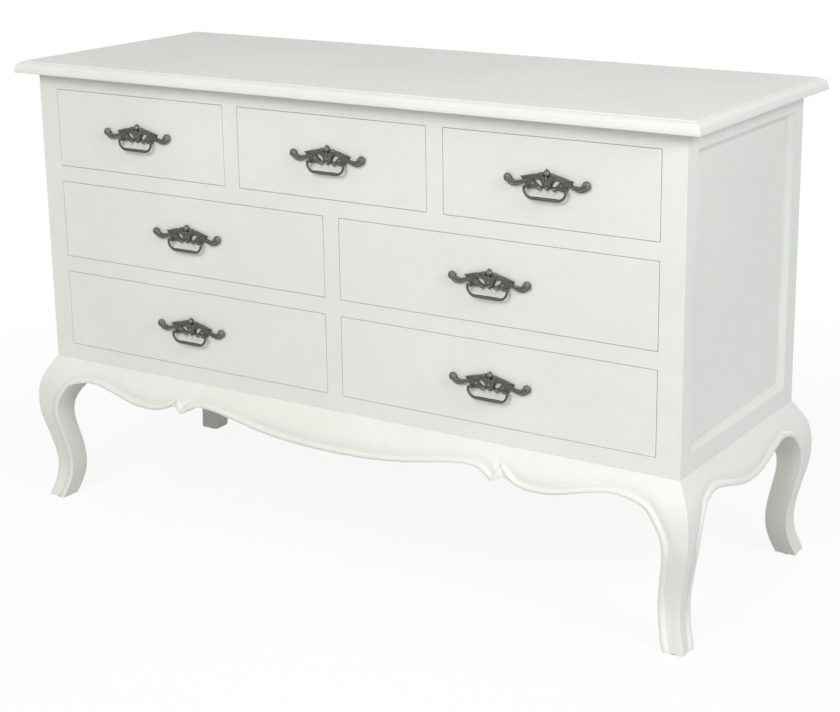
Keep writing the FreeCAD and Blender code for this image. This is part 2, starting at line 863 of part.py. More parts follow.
def pull_plate():
    """Cast plate with scroll bosses, middle bud, bail lugs and screw posts."""
    half = plate_half()
    plate = fused([half, mirrored_x(half)])
    plate.translate(Vector(0, -plate_standoff, 0))
    face_y = -plate_standoff - plate_thickness
    lug_out = bail_half_width - bail_radius - bail_lug_gap
    lug_in = lug_out - lug_length
    axis_y = -pull_axis_out
    pieces = [plate]
    boss_x = plate_half_width * plate_boss_shares[0]
    boss_z = plate_height * plate_boss_shares[1]
    for sign in (-1, 1):
        pieces.append(dome(plate_boss_radius, plate_boss_rise,
                           Vector(sign * boss_x, face_y, boss_z)))
        start = Vector(lug_in if sign > 0 else -lug_out, axis_y, pin_height)
        pieces.append(Part.makeCylinder(lug_radius, lug_length, start, Vector(1, 0, 0)))
        neck_x0 = lug_in if sign > 0 else -lug_out
        pieces.append(box(neck_x0, neck_x0 + lug_length, axis_y, face_y + plate_thickness / 2,
                          pin_height - lug_radius, pin_height + lug_radius))
        post = Vector(sign * pull_screw_spacing() / 2, -plate_standoff, pin_height)
        pieces.append(Part.makeCylinder(plate_post_radius, plate_standoff, post, Vector(0, 1, 0)))
    pieces.append(dome(plate_bud_radius, plate_boss_rise,
                       Vector(0, face_y, plate_height - 2 * plate_bud_radius)))
    solid = fused(pieces)
    bore = Part.makeCylinder(pin_radius + pin_clearance, 2 * bail_half_width + overrun,
                             Vector(-bail_half_width - overrun / 2, axis_y, pin_height),
                             Vector(1, 0, 0))
    solid = solid.cut(bore.common(box(-lug_out - overrun, -lug_in, axis_y - lug_radius,
                                      -plate_standoff, pin_height - lug_radius,
                                      pin_height + lug_radius)))
    solid = solid.cut(bore.common(box(lug_in, lug_out + overrun, axis_y - lug_radius,
                                      -plate_standoff, pin_height - lug_radius,
                                      pin_height + lug_radius)))
    for hole in screw_holes(0, pin_height, screw_radius + screw_clearance,
                            -screw_depth, overrun):
        solid = solid.cut(hole)
    return solid


def pull_bail():
    """Bail: two inward pins, two arms and a grip with rounded corners."""
    axis_y = -pull_axis_out
    x, r = bail_half_width, bail_corner_radius
    high, low = pin_height, pin_height - bail_drop
    pieces = []
    for sign in (-1, 1):
        arm_top, arm_low = Vector(sign * x, axis_y, high), Vector(sign * x, axis_y, low + r)
        corner = Vector(sign * (x - r), axis_y, low + r)
        middle = corner + Vector(sign * math.sin(eighth_turn), 0, -math.cos(eighth_turn)) * r
        bottom = Vector(sign * (x - r), axis_y, low)
        path = Part.Wire([Part.makeLine(arm_top, arm_low),
                          Part.Arc(arm_low, middle, bottom).toShape(),
                          Part.makeLine(bottom, Vector(sign * overrun, axis_y, low))])
        section = Part.Wire([Part.makeCircle(bail_radius, arm_top, Vector(0, 0, 1))])
        arm = path.makePipeShell([section], True, False)
        pieces.append(arm)
        pieces.append(Part.makeSphere(bail_radius, arm_top))
        pin_end = bail_half_width - bail_radius - bail_lug_gap - lug_length
        pin_start = Vector(pin_end if sign > 0 else -x, axis_y, high)
        pieces.append(Part.makeCylinder(pin_radius, x - pin_end, pin_start, Vector(1, 0, 0)))
    grip_half = x - 2 * r
    centre = Vector(-grip_half, axis_y, low)
    pieces.append(Part.makeCylinder(bail_grip_radius, 2 * grip_half, centre, Vector(1, 0, 0)))
    taper = bail_corner_radius
    pieces.append(Part.makeCone(bail_grip_radius, bail_radius, taper,
                                Vector(grip_half, axis_y, low), Vector(1, 0, 0)))
    pieces.append(Part.makeCone(bail_grip_radius, bail_radius, taper,
                                Vector(-grip_half, axis_y, low), Vector(-1, 0, 0)))
    return fused(pieces)


def pull_screws():
    """Machine screws from inside the drawer into the plate's posts."""
    screws = []
    head_y = drawer_front_thickness
    for shank in screw_holes(0, pin_height, screw_radius, -screw_depth + screw_clearance, head_y):
        screws.append(shank)
    for number, head in enumerate(screw_holes(0, pin_height, screw_head_radius, head_y,
                                              head_y + screw_head_height)):
        screws[number] = fused([screws[number], head])
    return screws


def drawers():
    """Every drawer with its pull, by node name."""
    nodes = {}
    plate, bail, screws = pull_plate(), pull_bail(), pull_screws()
    for row, names in enumerate(drawer_names):
        for name, (x0, x1) in zip(names, row_openings(row)):
            face, boards, bottom = drawer(x0, x1, row)
            nodes[name + "_drawer_front"] = [face]
            nodes[name + "_drawer_box"] = boards + [bottom]
            middle_z = rail_top(row) + opening_height / 2
            place = Vector((x0 + x1) / 2, front, middle_z - plate_low)
            nodes[name + "_pull_plate"] = [moved(plate, place)]
            nodes[name + "_pull_screws"] = [moved(screw, place) for screw in screws]
            nodes[name + "_pull_bail"] = [moved(bail, place)]
    return nodes


def moved(shape, way):
    copy = shape.copy()
    copy.translate(way)
    return copy


def case_nodes():
    moulding = side_moulding()
    return {
        "top_board": [top_board()],
        "corner_posts": corner_posts(),
        "front_rails": front_rails(),
        "front_muntins": muntins(),
        "side_rails": side_rails(-1) + side_rails(1),
        "left_side_panel": [side_panel(-1)],
        "right_side_panel": [side_panel(1)],
        "panel_mouldings": moulding + [mirrored_x(strip) for strip in moulding],
        "back_panel": [back_panel()],
        "rear_rails": rear_rails(),
        "drawer_runners": runners(),
        "drawer_guides": guides(),
        "drawer_kickers": kickers(),
        "drawer_stops": drawer_stops(),
        "corner_blocks": corner_blocks(),
        "foot_glides": foot_glides(),
    }


def export(name, solids):
    shape = solids[0] if len(solids) == 1 else Part.makeCompound(solids)
    shape.exportStep("parts/" + name + ".step")


def main():
    os.makedirs("parts", exist_ok=True)
    nodes = {}
    nodes.update(legs())
    nodes.update(aprons())
    nodes.update(case_nodes())
    nodes.update(drawers())
    for name, solids in nodes.items():
        export(name, solids)
    print(len(nodes), "nodes")


main()
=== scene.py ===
import math

import bmesh
import bpy
import numpy as np
from mathutils import Matrix, Vector


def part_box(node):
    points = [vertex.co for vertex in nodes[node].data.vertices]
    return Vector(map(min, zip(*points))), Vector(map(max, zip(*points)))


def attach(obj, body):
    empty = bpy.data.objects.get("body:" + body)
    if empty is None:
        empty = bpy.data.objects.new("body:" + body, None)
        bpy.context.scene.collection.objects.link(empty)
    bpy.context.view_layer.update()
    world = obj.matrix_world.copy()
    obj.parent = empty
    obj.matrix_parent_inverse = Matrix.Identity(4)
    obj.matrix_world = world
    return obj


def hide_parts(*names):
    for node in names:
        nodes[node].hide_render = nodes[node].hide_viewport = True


# Painted chest of seven drawers on cabriole legs. Sizes are in millimetres until a mesh is made.
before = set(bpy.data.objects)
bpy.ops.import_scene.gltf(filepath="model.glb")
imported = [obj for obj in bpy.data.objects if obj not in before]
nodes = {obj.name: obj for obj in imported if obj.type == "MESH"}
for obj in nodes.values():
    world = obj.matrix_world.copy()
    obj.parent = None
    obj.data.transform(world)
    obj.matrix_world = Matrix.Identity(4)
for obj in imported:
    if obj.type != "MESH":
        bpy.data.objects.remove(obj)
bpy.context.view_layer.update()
mm = 0.001
drawerNames = ["bottom_left", "bottom_right", "middle_left", "middle_right", "top_left", "top_middle", "top_right"]
print("frame loaded:", len(nodes), "nodes")


# Node trees: sums on a wire add their Math nodes, every other node comes from Graph.node
class Wire:
    def __init__(self, graph, socket):
        self.graph, self.socket = graph, socket

    def math(self, operation, *values):
        return self.graph.node("ShaderNodeMath", values, operation=operation)

    def __add__(self, other):
        return self.math("ADD", self, other)

    def __radd__(self, other):
        return self.math("ADD", other, self)

    def __sub__(self, other):
        return self.math("SUBTRACT", self, other)

    def __rsub__(self, other):
        return self.math("SUBTRACT", other, self)

    def __mul__(self, other):
        return self.math("MULTIPLY", self, other)

    def __rmul__(self, other):
        return self.math("MULTIPLY", other, self)

    def __truediv__(self, other):
        return self.math("DIVIDE", self, other)


class Graph:
    def __init__(self, tree):
        self.tree = tree
        tree.nodes.clear()

    def node(self, kind, sockets=(), out=0, **settings):
        made = self.tree.nodes.new(kind)
        for name, value in settings.items():
            setattr(made, name, value)
        for key, value in (sockets.items() if isinstance(sockets, dict) else enumerate(sockets)):
            if isinstance(value, (Wire, list)):  # a list brings several wires to one socket
                for wire in value if isinstance(value, list) else [value]:
                    self.tree.links.new(wire.socket, made.inputs[key])
            else:
                made.inputs[key].default_value = value
        return Wire(self, made.outputs[out]) if len(made.outputs) else None

    def blend(self, factor, one, other):
        one, other = [colour if isinstance(colour, Wire) else (*colour, 1) for colour in (one, other)]
        return self.node("ShaderNodeMix", {0: factor, 6: one, 7: other}, out=2, data_type="RGBA")

    def between(self, value, low, high, start=0.0, end=1.0):
        return self.node("ShaderNodeMapRange", (value, low, high, start, end), interpolation_type="SMOOTHSTEP")

    def noise(self, vector, scale, detail=2.0, roughness=0.5, distortion=0.0):
        return self.node("ShaderNodeTexNoise", {"Vector": vector, "Scale": scale, "Detail": detail,
                                                "Roughness": roughness, "Distortion": distortion})

    def stretched(self, vector, scale):
        return self.node("ShaderNodeMapping", {"Vector": vector, "Scale": scale})

    def attribute(self, name):
        return self.node("ShaderNodeAttribute", out=2, attribute_name=name)

    def parts(self, vector):
        return [Wire(self, socket) for socket in self.node("ShaderNodeSeparateXYZ", (vector,)).socket.node.outputs]

    def vector(self, x, y, z):
        return self.node("ShaderNodeCombineXYZ", (x, y, z))

    def surface(self, sockets, height, bump):
        sockets["Normal"] = self.node("ShaderNodeBump", {"Strength": bump[0], "Distance": bump[1], "Height": height})
        self.node("ShaderNodeOutputMaterial", {"Surface": self.node("ShaderNodeBsdfPrincipled", sockets)})


def newMaterial(name):
    # a material, its graph and the object's own coordinates
    material = bpy.data.materials.new(name)
    material.use_nodes = True
    graph = Graph(material.node_tree)
    return material, graph, graph.node("ShaderNodeTexCoord", out=3)


# Satin off-white paint, sprayed over a brushed undercoat, with a grey that paints shade into the hollows beside the
# beads. A bump is its strength, then its depth in metres
paintLook = {"light": (0.823, 0.827, 0.781), "dark": (0.781, 0.786, 0.738), "paintedShade": (0.600, 0.600, 0.560),
             "cloudScale": 2.6, "mottleScale": 34.0, "peelScale": 620.0, "brushScale": (30, 520, 520),
             "cloudShare": 0.75, "toneSpan": (0.36, 0.64), "paintedShadeLeast": 0.08, "paintedShadeMottle": 0.34,
             "roughness": 0.36, "cloudRoughness": 0.10, "mottleRoughness": 0.05, "ior": 1.47,
             "peelLift": 0.6, "brushLift": 0.12, "mottleLift": 0.8, "bump": (0.10, 0.0005)}


def paintMaterial(name, withPaintedShade):
    look = paintLook
    material, g, place = newMaterial(name)
    cloud = g.noise(place, look["cloudScale"], 3.0)
    mottle = g.noise(place, look["mottleScale"])
    peel = g.noise(place, look["peelScale"], 1.0)
    brush = g.noise(g.stretched(place, look["brushScale"]), 1.0)
    tone = g.between(cloud * look["cloudShare"] + mottle * (1 - look["cloudShare"]), *look["toneSpan"])
    colour = g.blend(tone, look["dark"], look["light"])
    if withPaintedShade:  # painted shade: a little grey in the hollows beside the beads, where shade falls
        paintedShade = g.attribute("hollow") * (look["paintedShadeLeast"] + look["paintedShadeMottle"] * mottle)
        colour = g.blend(paintedShade, colour, look["paintedShade"])
    rough = look["roughness"] + cloud * look["cloudRoughness"] + mottle * look["mottleRoughness"]
    lift = peel * look["peelLift"] + brush * look["brushLift"] + mottle * look["mottleLift"]
    g.surface({"Base Color": colour, "Roughness": rough, "IOR": look["ior"]}, lift, look["bump"])
    return material


# Cast alloy with a dark antique wash, rubbed bright on the high spots
castLook = {"wash": (0.056, 0.056, 0.051), "metal": (0.118, 0.118, 0.107), "rubbed": (0.300, 0.295, 0.265),
            "grainScale": 900.0, "patchScale": 120.0, "patchWear": 0.5, "wornSpan": (0.50, 1.0),
            "grainWear": 0.35, "bodySpan": (0.05, 0.55), "metallic": 0.75, "wornMetallic": 0.2,
            "roughness": 0.50, "wornPolish": 0.16, "grainRoughness": 0.12, "patchLift": 0.5, "bump": (0.35, 0.0003)}


def castMaterial():
    look = castLook
    material, g, place = newMaterial("antiqueCasting")
    high = g.attribute("high")
    grain = g.noise(place, look["grainScale"], 3.0, 0.6)
    patch = g.noise(place, look["patchScale"])
    worn = g.between(high + (patch - 0.5) * look["patchWear"], *look["wornSpan"])
    body = g.between(high + (grain - 0.5) * look["grainWear"], *look["bodySpan"])
    colour = g.blend(worn, g.blend(body, look["wash"], look["metal"]), look["rubbed"])
    metallic = look["metallic"] + look["wornMetallic"] * worn
    rough = look["roughness"] - look["wornPolish"] * worn + look["grainRoughness"] * grain
    g.surface({"Base Color": colour, "Metallic": metallic, "Roughness": rough},
              grain + patch * look["patchLift"], look["bump"])
    return material


# Wood with its grain along one axis of the object, or along the first direction of a UV map
woodLook = {
    "pine": {"early": (0.640, 0.470, 0.285), "late": (0.470, 0.300, 0.155), "rings": 95.0},
    "drawer": {"early": (0.700, 0.560, 0.385), "late": (0.560, 0.410, 0.250), "rings": 120.0},
    "board": {"early": (0.600, 0.465, 0.320), "late": (0.520, 0.388, 0.255), "rings": 110.0},
    "warpScale": 14.0, "warpBend": 0.6, "warpShare": 0.12, "driftScale": 5.0, "driftRings": 3.0,
    "lateSpan": (0.15, 0.95), "lateShare": 0.75, "fibreScale": 12.0, "fibreStretch": (5, 55),
    "poreSpan": (0.60, 0.72), "poreShare": 0.30, "poreTone": 0.55,
    "roughness": 0.52, "fibreRoughness": 0.16, "fibreLift": 0.6, "lateLift": 0.3, "bump": (0.22, 0.0006),
}
grainScale = {"X": (0.055, 1, 1), "Y": (1, 0.055, 1), "Z": (1, 1, 0.055), "U": (0.055, 1, 1)}


def woodMaterial(name, kind, axis):
    look = {**woodLook, **woodLook[kind]}
    material, g, place = newMaterial(name)
    if axis == "U":
        place = g.node("ShaderNodeUVMap", uv_map="grain")
    along = g.stretched(place, grainScale[axis])
    warp = g.noise(along, look["warpScale"], 3.0, 0.5, look["warpBend"])
    rings = warp * look["rings"] * look["warpShare"] + g.noise(along, look["driftScale"]) * look["driftRings"]
    late = g.between(rings.math("FRACT", rings), *look["lateSpan"])
    lengthwise, across = look["fibreStretch"]
    fine = g.stretched(place, tuple(lengthwise * v if v < 1 else across for v in grainScale[axis]))
    fibre = g.noise(fine, look["fibreScale"], 3.0, 0.6)
    pore = g.between(fibre, *look["poreSpan"])
    colour = g.blend(late * look["lateShare"], look["early"], look["late"])
    colour = g.blend(pore * look["poreShare"], colour, tuple(look["poreTone"] * v for v in look["late"]))
    rough = look["roughness"] + look["fibreRoughness"] * fibre
    lift = fibre * look["fibreLift"] + late * look["lateLift"]
    g.surface({"Base Color": colour, "Roughness": rough}, lift, look["bump"])
    return material


def plainMaterial(name, colour, shade, metallic, roughness, scale):
    material, g, place = newMaterial(name)
    fine = g.noise(place, scale, 3.0)
    broad = g.noise(place, scale * 0.12)
    tone = g.blend(g.between(fine * 0.5 + broad * 0.5, 0.35, 0.65), shade, colour)
    g.surface({"Base Color": tone, "Metallic": metallic, "Roughness": roughness + 0.15 * broad}, fine, (0.2, 0.0003))
    return material


paint = paintMaterial("satinPaint", False)
# the carved base's paint also carries the painted shade beside its beads
paintWithShade = paintMaterial("satinPaintShaded", True)
casting = castMaterial()
pineAlongX = woodMaterial("pineAlongX", "pine", "X")
pineAlongY = woodMaterial("pineAlongY", "pine", "Y")
drawerWood = woodMaterial("drawerWood", "drawer", "U")
backBoard = woodMaterial("backBoard", "board", "Z")
zinc = plainMaterial("zincPlate", (0.66, 0.67, 0.69), (0.50, 0.51, 0.54), 0.95, 0.30, 800.0)
glidePlastic = plainMaterial("glidePlastic", (0.055, 0.048, 0.040), (0.030, 0.026, 0.022), 0.0, 0.50, 700.0)
print("materials made")


# Mesh tools
def newObject(name, data):
    made = bpy.data.objects.new(name, data)
    bpy.context.scene.collection.objects.link(made)
    return made


def makeObject(name, points, faces, material):
    mesh = bpy.data.meshes.new(name)
    mesh.from_pydata([[float(value) * mm for value in point] for point in points], [], faces)
    mesh.update()
    mesh.materials.append(material)
    return newObject(name, mesh)


def addAttribute(made, name, values):
    layer = made.data.attributes.new(name, "FLOAT", "POINT")
    layer.data.foreach_set("value", np.asarray(values, np.float32))


def editMesh(made, change):
    work = bmesh.new()
    work.from_mesh(made.data)
    change(work)
    work.to_mesh(made.data)
    work.free()
    return made


def softShade(made, sharpAngle, mergeAt=0.00001):
    # joins doubles, then smooth shading with crisp edges past the angle
    def shade(work):
        bmesh.ops.remove_doubles(work, verts=work.verts, dist=mergeAt)
        for face in work.faces:
            face.smooth = True
        for edge in work.edges:
            edge.smooth = len(edge.link_faces) == 2 and edge.calc_face_angle(0) < math.radians(sharpAngle)

    return editMesh(made, shade)


def addModifier(made, kind, **settings):
    modifier = made.modifiers.new(kind.title(), kind)
    for name, value in settings.items():
        setattr(modifier, name, value)
    return modifier


def bakeModifiers(made):
    # turns the object with its modifiers into a plain mesh
    bpy.context.view_layer.update()
    depsgraph = bpy.context.evaluated_depsgraph_get()
    mesh = bpy.data.meshes.new_from_object(made.evaluated_get(depsgraph), preserve_all_data_layers=True,
                                           depsgraph=depsgraph)
    name = made.name
    bpy.data.objects.remove(made)
    mesh.name = name
    return newObject(name, mesh)


def evenNormals(made):
    # keeps the flats even beside their soft edges
    addModifier(made, "WEIGHTED_NORMAL", weight=100, keep_sharp=True)
    return bakeModifiers(made)


def joinObjects(name, parts):
    bpy.ops.object.select_all(action="DESELECT")
    for part in parts:
        part.select_set(True)
    bpy.context.view_layer.objects.active = parts[0]
    bpy.ops.object.join()
    parts[0].name = parts[0].data.name = name
    return parts[0]


def blockPoints(boxes):
    # one closed skin round boxes that touch or overlap
    cuts = [sorted({round(box[end][axis], 3) for box in boxes for end in (0, 1)}) for axis in range(3)]
    filled = np.zeros([len(cut) + 1 for cut in cuts], bool)
    for low, high in boxes:
        filled[tuple(slice(cuts[axis].index(round(low[axis], 3)) + 1, cuts[axis].index(round(high[axis], 3)) + 1)
                     for axis in range(3))] = True
    index, points, faces = {}, [], []

    def corner(key):
        if key not in index:
            index[key] = len(points)
            points.append([cuts[axis][key[axis]] for axis in range(3)])
        return index[key]

    for cell in np.argwhere(filled):
        for axis in range(3):
            for side in (0, 1):
                beside = cell.copy()
                beside[axis] += 1 if side else -1
                if filled[tuple(beside)]:
                    continue
                others = [n for n in range(3) if n != axis]
                ring = []
                for turn in ((0, 0), (1, 0), (1, 1), (0, 1)):
                    key = [int(value) - 1 for value in cell]
                    key[axis] += side
                    key[others[0]] += turn[0]
                    key[others[1]] += turn[1]
                    ring.append(corner(tuple(key)))
                faces.append(ring if (side == 1) != (axis == 1) else ring[::-1])
    return points, faces


def bands(rings, count, start=0, closed=False):
    # faces from each ring of points to the next one, and from the last to the first if closed
    faces = []
    for n in range(rings if closed else rings - 1):
        a, b = start + n * count, start + (n + 1) % rings * count
        faces += [[a + k, a + (k + 1) % count, b + (k + 1) % count, b + k] for k in range(count)]
    return faces


def joinery(name, boxes, material, softness, segments=2):
    # flush joined timber with softened arrises
    made = makeObject(name, *blockPoints(boxes), material)
    editMesh(made, lambda work: bmesh.ops.dissolve_limit(work, angle_limit=math.radians(1), verts=work.verts,
                                                         edges=work.edges))
    addModifier(made, "BEVEL", width=softness * mm, segments=segments, limit_method="ANGLE",
                angle_limit=math.radians(40), use_clamp_overlap=True)
    made.data.shade_smooth()
    return evenNormals(made)


def grainUv(made, grain):
    # UV map in metres: first direction along the board's grain
    mesh = made.data
    layer = mesh.uv_layers.new(name="grain")
    for face in mesh.polygons:
        flat = max(range(3), key=lambda axis: abs(face.normal[axis]))
        across = [axis for axis in range(3) if axis != grain and axis != flat][0]
        for loop in face.loop_indices:
            place = mesh.vertices[mesh.loops[loop].vertex_index].co
            if flat == grain:  # end grain
                layer.data[loop].uv = (place[(grain + 1) % 3], place[across])
            else:
                layer.data[loop].uv = (place[grain], place[across] + 0.4 * place[flat])


def cubicThrough(xs, ys, at):
    # natural cubic spline through (xs, ys), read at the given places
    xs, ys, at = (np.asarray(values, float) for values in (xs, ys, at))
    step = np.diff(xs)
    size = len(xs)
    matrix, right = np.zeros((size, size)), np.zeros(size)
    matrix[0, 0] = matrix[-1, -1] = 1
    for n in range(1, size - 1):
        matrix[n, n - 1:n + 2] = step[n - 1], 2 * (step[n - 1] + step[n]), step[n]
        right[n] = 3 * ((ys[n + 1] - ys[n]) / step[n] - (ys[n] - ys[n - 1]) / step[n - 1])
    curve = np.linalg.solve(matrix, right)
    part = np.clip(np.searchsorted(xs, at) - 1, 0, size - 2)
    d = at - xs[part]
    slope = (ys[part + 1] - ys[part]) / step[part] - step[part] * (2 * curve[part] + curve[part + 1]) / 3
    return ys[part] + slope * d + curve[part] * d ** 2 + (curve[part + 1] - curve[part]) / (3 * step[part]) * d ** 3


def steps(length, spacing, fineTo, fine):
    # even steps along a length, finer up to fineTo
    first = np.linspace(0, fineTo, int(round(fineTo / fine)) + 1)[:-1] if fineTo else np.zeros(0)
    return np.concatenate([first, np.linspace(fineTo, length, max(2, int(round((length - fineTo) / spacing)) + 1))])


def travelled(points):
    return np.concatenate([[0], np.cumsum(np.linalg.norm(np.diff(points, axis=0), axis=1))])


def curveAt(points, at):
    # the smooth plane curve through the points, read at distances along it
    travel = travelled(points)
    return np.stack([cubicThrough(travel, points[:, axis], at) for axis in (0, 1)], axis=1)


def lineThrough(points, spacing, fineTo=0.0, fine=1.0):
    points = np.asarray(points, float)
    return curveAt(points, steps(travelled(points)[-1], spacing, fineTo, fine))


def fade(values):
    values = np.clip(values, 0, 1)
    return values * values * (3 - 2 * values)


def grow(start, along, length):
    # from the start value up to 1 over a length
    return start + (1 - start) * fade(along / length)


# Carved base: aprons, knees and legs in one skin. A place on a face is (along, drop): how far
# from the middle of that face, and how far below the case.
base = {
    "halfWidth": 620.0, "halfDepth": 215.0, "caseBottom": 270.5, "legHeight": 268.0, "legRows": 76,
    "kneeProud": 28.0, "legInset": 27.4, "postInset": 38.0, "archFoot": 53.0, "kneeReach": 82.0,
    "apronThickness": 22.0, "blockInset": 3.0, "ridgeRound": 0.12, "arris": 1.5, "arrisDrop": 0.9,
    "beadWidth": 4.7, "beadRise": 1.8, "channelDepth": 2.2, "channelWidth": 12.0, "legWiden": 0.22,
    # the band of painted shade beside each bead: its width and its gap from the bead, on the next line
    "paintedShadeWidth": 2.6, "paintedShadeGap": 0.4, "spacing": 3.0, "fineStep": 1.2, "legFade": 60.0, "channelWiden": 0.7,
    "domePower": 0.9, "tallReach": 2.0, "channelUnder": 0.45, "leanPower": 1.3, "kneePower": 0.85,
    "rowReach": 0.72, "lastRow": 1.2, "underRows": [0.45, 1.3, 3.0], "underReach": 0.4, "underSplit": 0.45,
    # rows of points over a face: by distance from the lower edge, then by share of the rest
    "closeRows": [0, 0.5, 1.1, 1.9, 2.8, 3.8, 4.7, 5.6, 6.6, 7.5, 8.3, 8.9, 9.4, 10.2, 11.5, 13.2, 15.2, 17.6, 20.4],
    "farRows": [0.14, 0.28, 0.42, 0.56, 0.70, 0.84],
    # the leg's outer and inner lines, from the case down, and the arch that leads into it, as shares
    "outerLine": [(0.0, 0.0), (0.06, 0.36), (0.12, 0.68), (0.19, 0.90), (0.30, 1.0), (0.40, 0.94), (0.50, 0.74),
                  (0.60, 0.53), (0.68, 0.39), (0.76, 0.325), (0.84, 0.38), (0.91, 0.53), (0.96, 0.69), (1.0, 0.79)],
    "innerLine": [(0.06, 1.05), (0.12, 0.78), (0.20, 0.60), (0.26, 0.573), (0.34, 0.63), (0.43, 0.752),
                  (0.54, 0.90), (0.63, 0.985), (0.71, 1.0), (0.79, 0.95), (0.87, 0.81), (0.94, 0.64), (1.0, 0.46)],
    "archLine": [(0.42, 0.17), (0.74, 0.45), (0.93, 0.78)],
}
# each face: half its length, the wing beside the leg, the drop at the arch's crest and in the middle, where its
# rows begin to lean to the corner, how far the fine steps reach, and how far in from the corner its bead starts
faceForms = {
    "front": {"half": base["halfWidth"], "wing": 92.0, "crest": 34.5, "drop": 62.8, "lean": 470.0,
              "fineTo": 48.0, "middleFineTo": 30.0,
              "middle": [(0.0, 1.0), (0.114, 0.977), (0.227, 0.904), (0.341, 0.762), (0.426, 0.638), (0.502, 0.577),
                         (0.540, 0.614), (0.568, 0.734), (0.583, 0.821)],
              "outer": [(0.617, 0.686), (0.644, 0.750), (0.682, 0.853), (0.739, 0.903), (0.795, 0.866),
                        (0.852, 0.758), (0.909, 0.643), (0.956, 0.568)]},
    "side": {"half": base["halfDepth"], "wing": 83.0, "crest": 38.0, "drop": 61.6, "lean": 60.0,
             "fineTo": 0.0, "middle": None, "beadReach": 1000.0,
             "outer": [(0.0, 1.0), (0.13, 0.993), (0.25, 0.966), (0.36, 0.919), (0.475, 0.860), (0.58, 0.800),
                       (0.68, 0.745), (0.78, 0.693), (0.88, 0.645)]},
    "rear": {"half": base["halfWidth"], "wing": 92.0, "crest": 34.5, "drop": 34.5, "lean": 470.0,
             "fineTo": 0.0, "middle": None, "beadReach": 165.0,
             "outer": [(0.0, 1.0), (0.3, 1.0), (0.6, 1.0), (0.8, 1.0), (0.93, 1.0)]},
}
# the beak where the two runs meet: its blunt tip, the bead that turns up in it, and the tail above it
beak = {"tip": [(312.0, 52.5), (316.2, 50.9), (320.6, 47.0), (323.8, 43.9)], "tipStep": 1.1,
        "turn": [(314.6, 47.2), (318.6, 44.4), (321.8, 40.6), (323.4, 36.5)],
        "tail": [(322.3, 26.6), (326.8, 29.0), (332.2, 32.8), (338.0, 37.4), (344.0, 41.3)], "tailGap": 7.0}
legDrops = np.linspace(base["archFoot"], base["legHeight"], base["legRows"])


def proudAt(drop):
    line = np.array(base["outerLine"])
    return base["kneeProud"] * cubicThrough(line[:, 0] * base["legHeight"], line[:, 1], drop)


def insetAt(drop):
    shin = base["legHeight"] - base["archFoot"]
    drops = [base["archFoot"]] + [base["archFoot"] + shin * share for share, _ in base["innerLine"]]
    insets = [base["postInset"]] + [base["legInset"] * share for _, share in base["innerLine"]]
    return cubicThrough(drops, insets, drop)


def lowerEdge(form):
    # runs of the lower edge from the middle of the face out to the foot
    span, drop, crest = form["half"] - form["wing"], form["drop"], form["crest"]
    leg = np.stack([form["half"] - insetAt(legDrops), legDrops], axis=1)
    arch, rise = form["wing"] - base["postInset"], base["archFoot"] - crest
    outer = [(span * a, drop * d) for a, d in form["outer"]] + [(span, crest)]
    outer += [(span + arch * a, crest + rise * d) for a, d in base["archLine"]]
    lead = len(outer)
    path = np.array(outer + [tuple(leg[n]) for n in (0, 4, 9)])
    apron = curveAt(path, steps(travelled(path)[lead], base["spacing"], form["fineTo"], base["fineStep"]))
    outerRun = np.concatenate([apron[:-1], leg])
    if not form["middle"]:
        return [outerRun]
    middle = [(span * a, drop * d) for a, d in form["middle"]][::-1]
    return [lineThrough(middle, base["spacing"], form["middleFineTo"], base["fineStep"])[::-1], outerRun]


def beadLine(run):
    # middle line of a bead, inset from the edge into the wood
    way = np.gradient(run, axis=0)
    way /= np.linalg.norm(way, axis=1)[:, None]
    return run + np.stack([way[:, 1], -way[:, 0]], axis=1) * base["beadWidth"]


# how the beads end: turned up in the beak, in the tails above it, and run out along a plain apron
beadEnds = {"swell": 0.15, "swellLength": 22.0, "tipHeight": 0.75, "tipLength": 8.0,
            "tailWidth": 0.20, "tailWidthLength": 21.0, "tailHeight": 0.55, "tailHeightLength": 14.0,
            "tailChannel": 0.5, "tailChannelLength": 26.0, "thinWidth": 0.15, "thinLength": 70.0}


def beads(form, runs):
    # bead middle lines, each with its half width, its height and its channel as shares along it
    wide, fine, e = base["beadWidth"], base["fineStep"], beadEnds
    if form["middle"]:
        inner = beadLine(runs[0])
        inner = np.concatenate([inner[:-2], lineThrough(np.concatenate([inner[-2:], beak["turn"]]), fine)])
        back = travelled(inner)[-1] - travelled(inner)
        outer = beadLine(runs[1])
        joined = outer[outer[:, 0] > beak["tail"][-1][0] + beak["tailGap"]]
        outer = np.concatenate([lineThrough(np.concatenate([beak["tail"], joined[:3]]), fine), joined[3:]])
        along = travelled(outer)
        return [(inner, wide * (1 + e["swell"] * fade(1 - back / e["swellLength"])),
                 grow(e["tipHeight"], back, e["tipLength"]), fade((back - e["tipLength"]) / e["swellLength"])),
                (outer, wide * grow(e["tailWidth"], along, e["tailWidthLength"]),
                 grow(e["tailHeight"], along, e["tailHeightLength"]),
                 grow(e["tailChannel"], along, e["tailChannelLength"]))]
    line = beadLine(runs[0])
    share = fade((line[:, 0] - form["half"] + form["beadReach"]) / e["thinLength"])
    return [(line, wide * (e["thinWidth"] + (1 - e["thinWidth"]) * share), share, share)]


def nearestOn(line, places):
    # distance from each place to a polyline, and how far along it that is, in points
    pick = ((places[:, None] - line[None]) ** 2).sum(axis=2).argmin(axis=1)
    best, where = np.full(len(places), np.inf), pick.astype(float)
    for step in (-1, 0):
        a = np.clip(pick + step, 0, len(line) - 2)
        way = line[a + 1] - line[a]
        t = np.clip(((places - line[a]) * way).sum(axis=1) / (way ** 2).sum(axis=1), 0, 1)
        away = np.linalg.norm(places - line[a] - way * t[:, None], axis=1)
        better = away < best
        best, where = np.where(better, away, best), np.where(better, a + t, where)
    return best, where


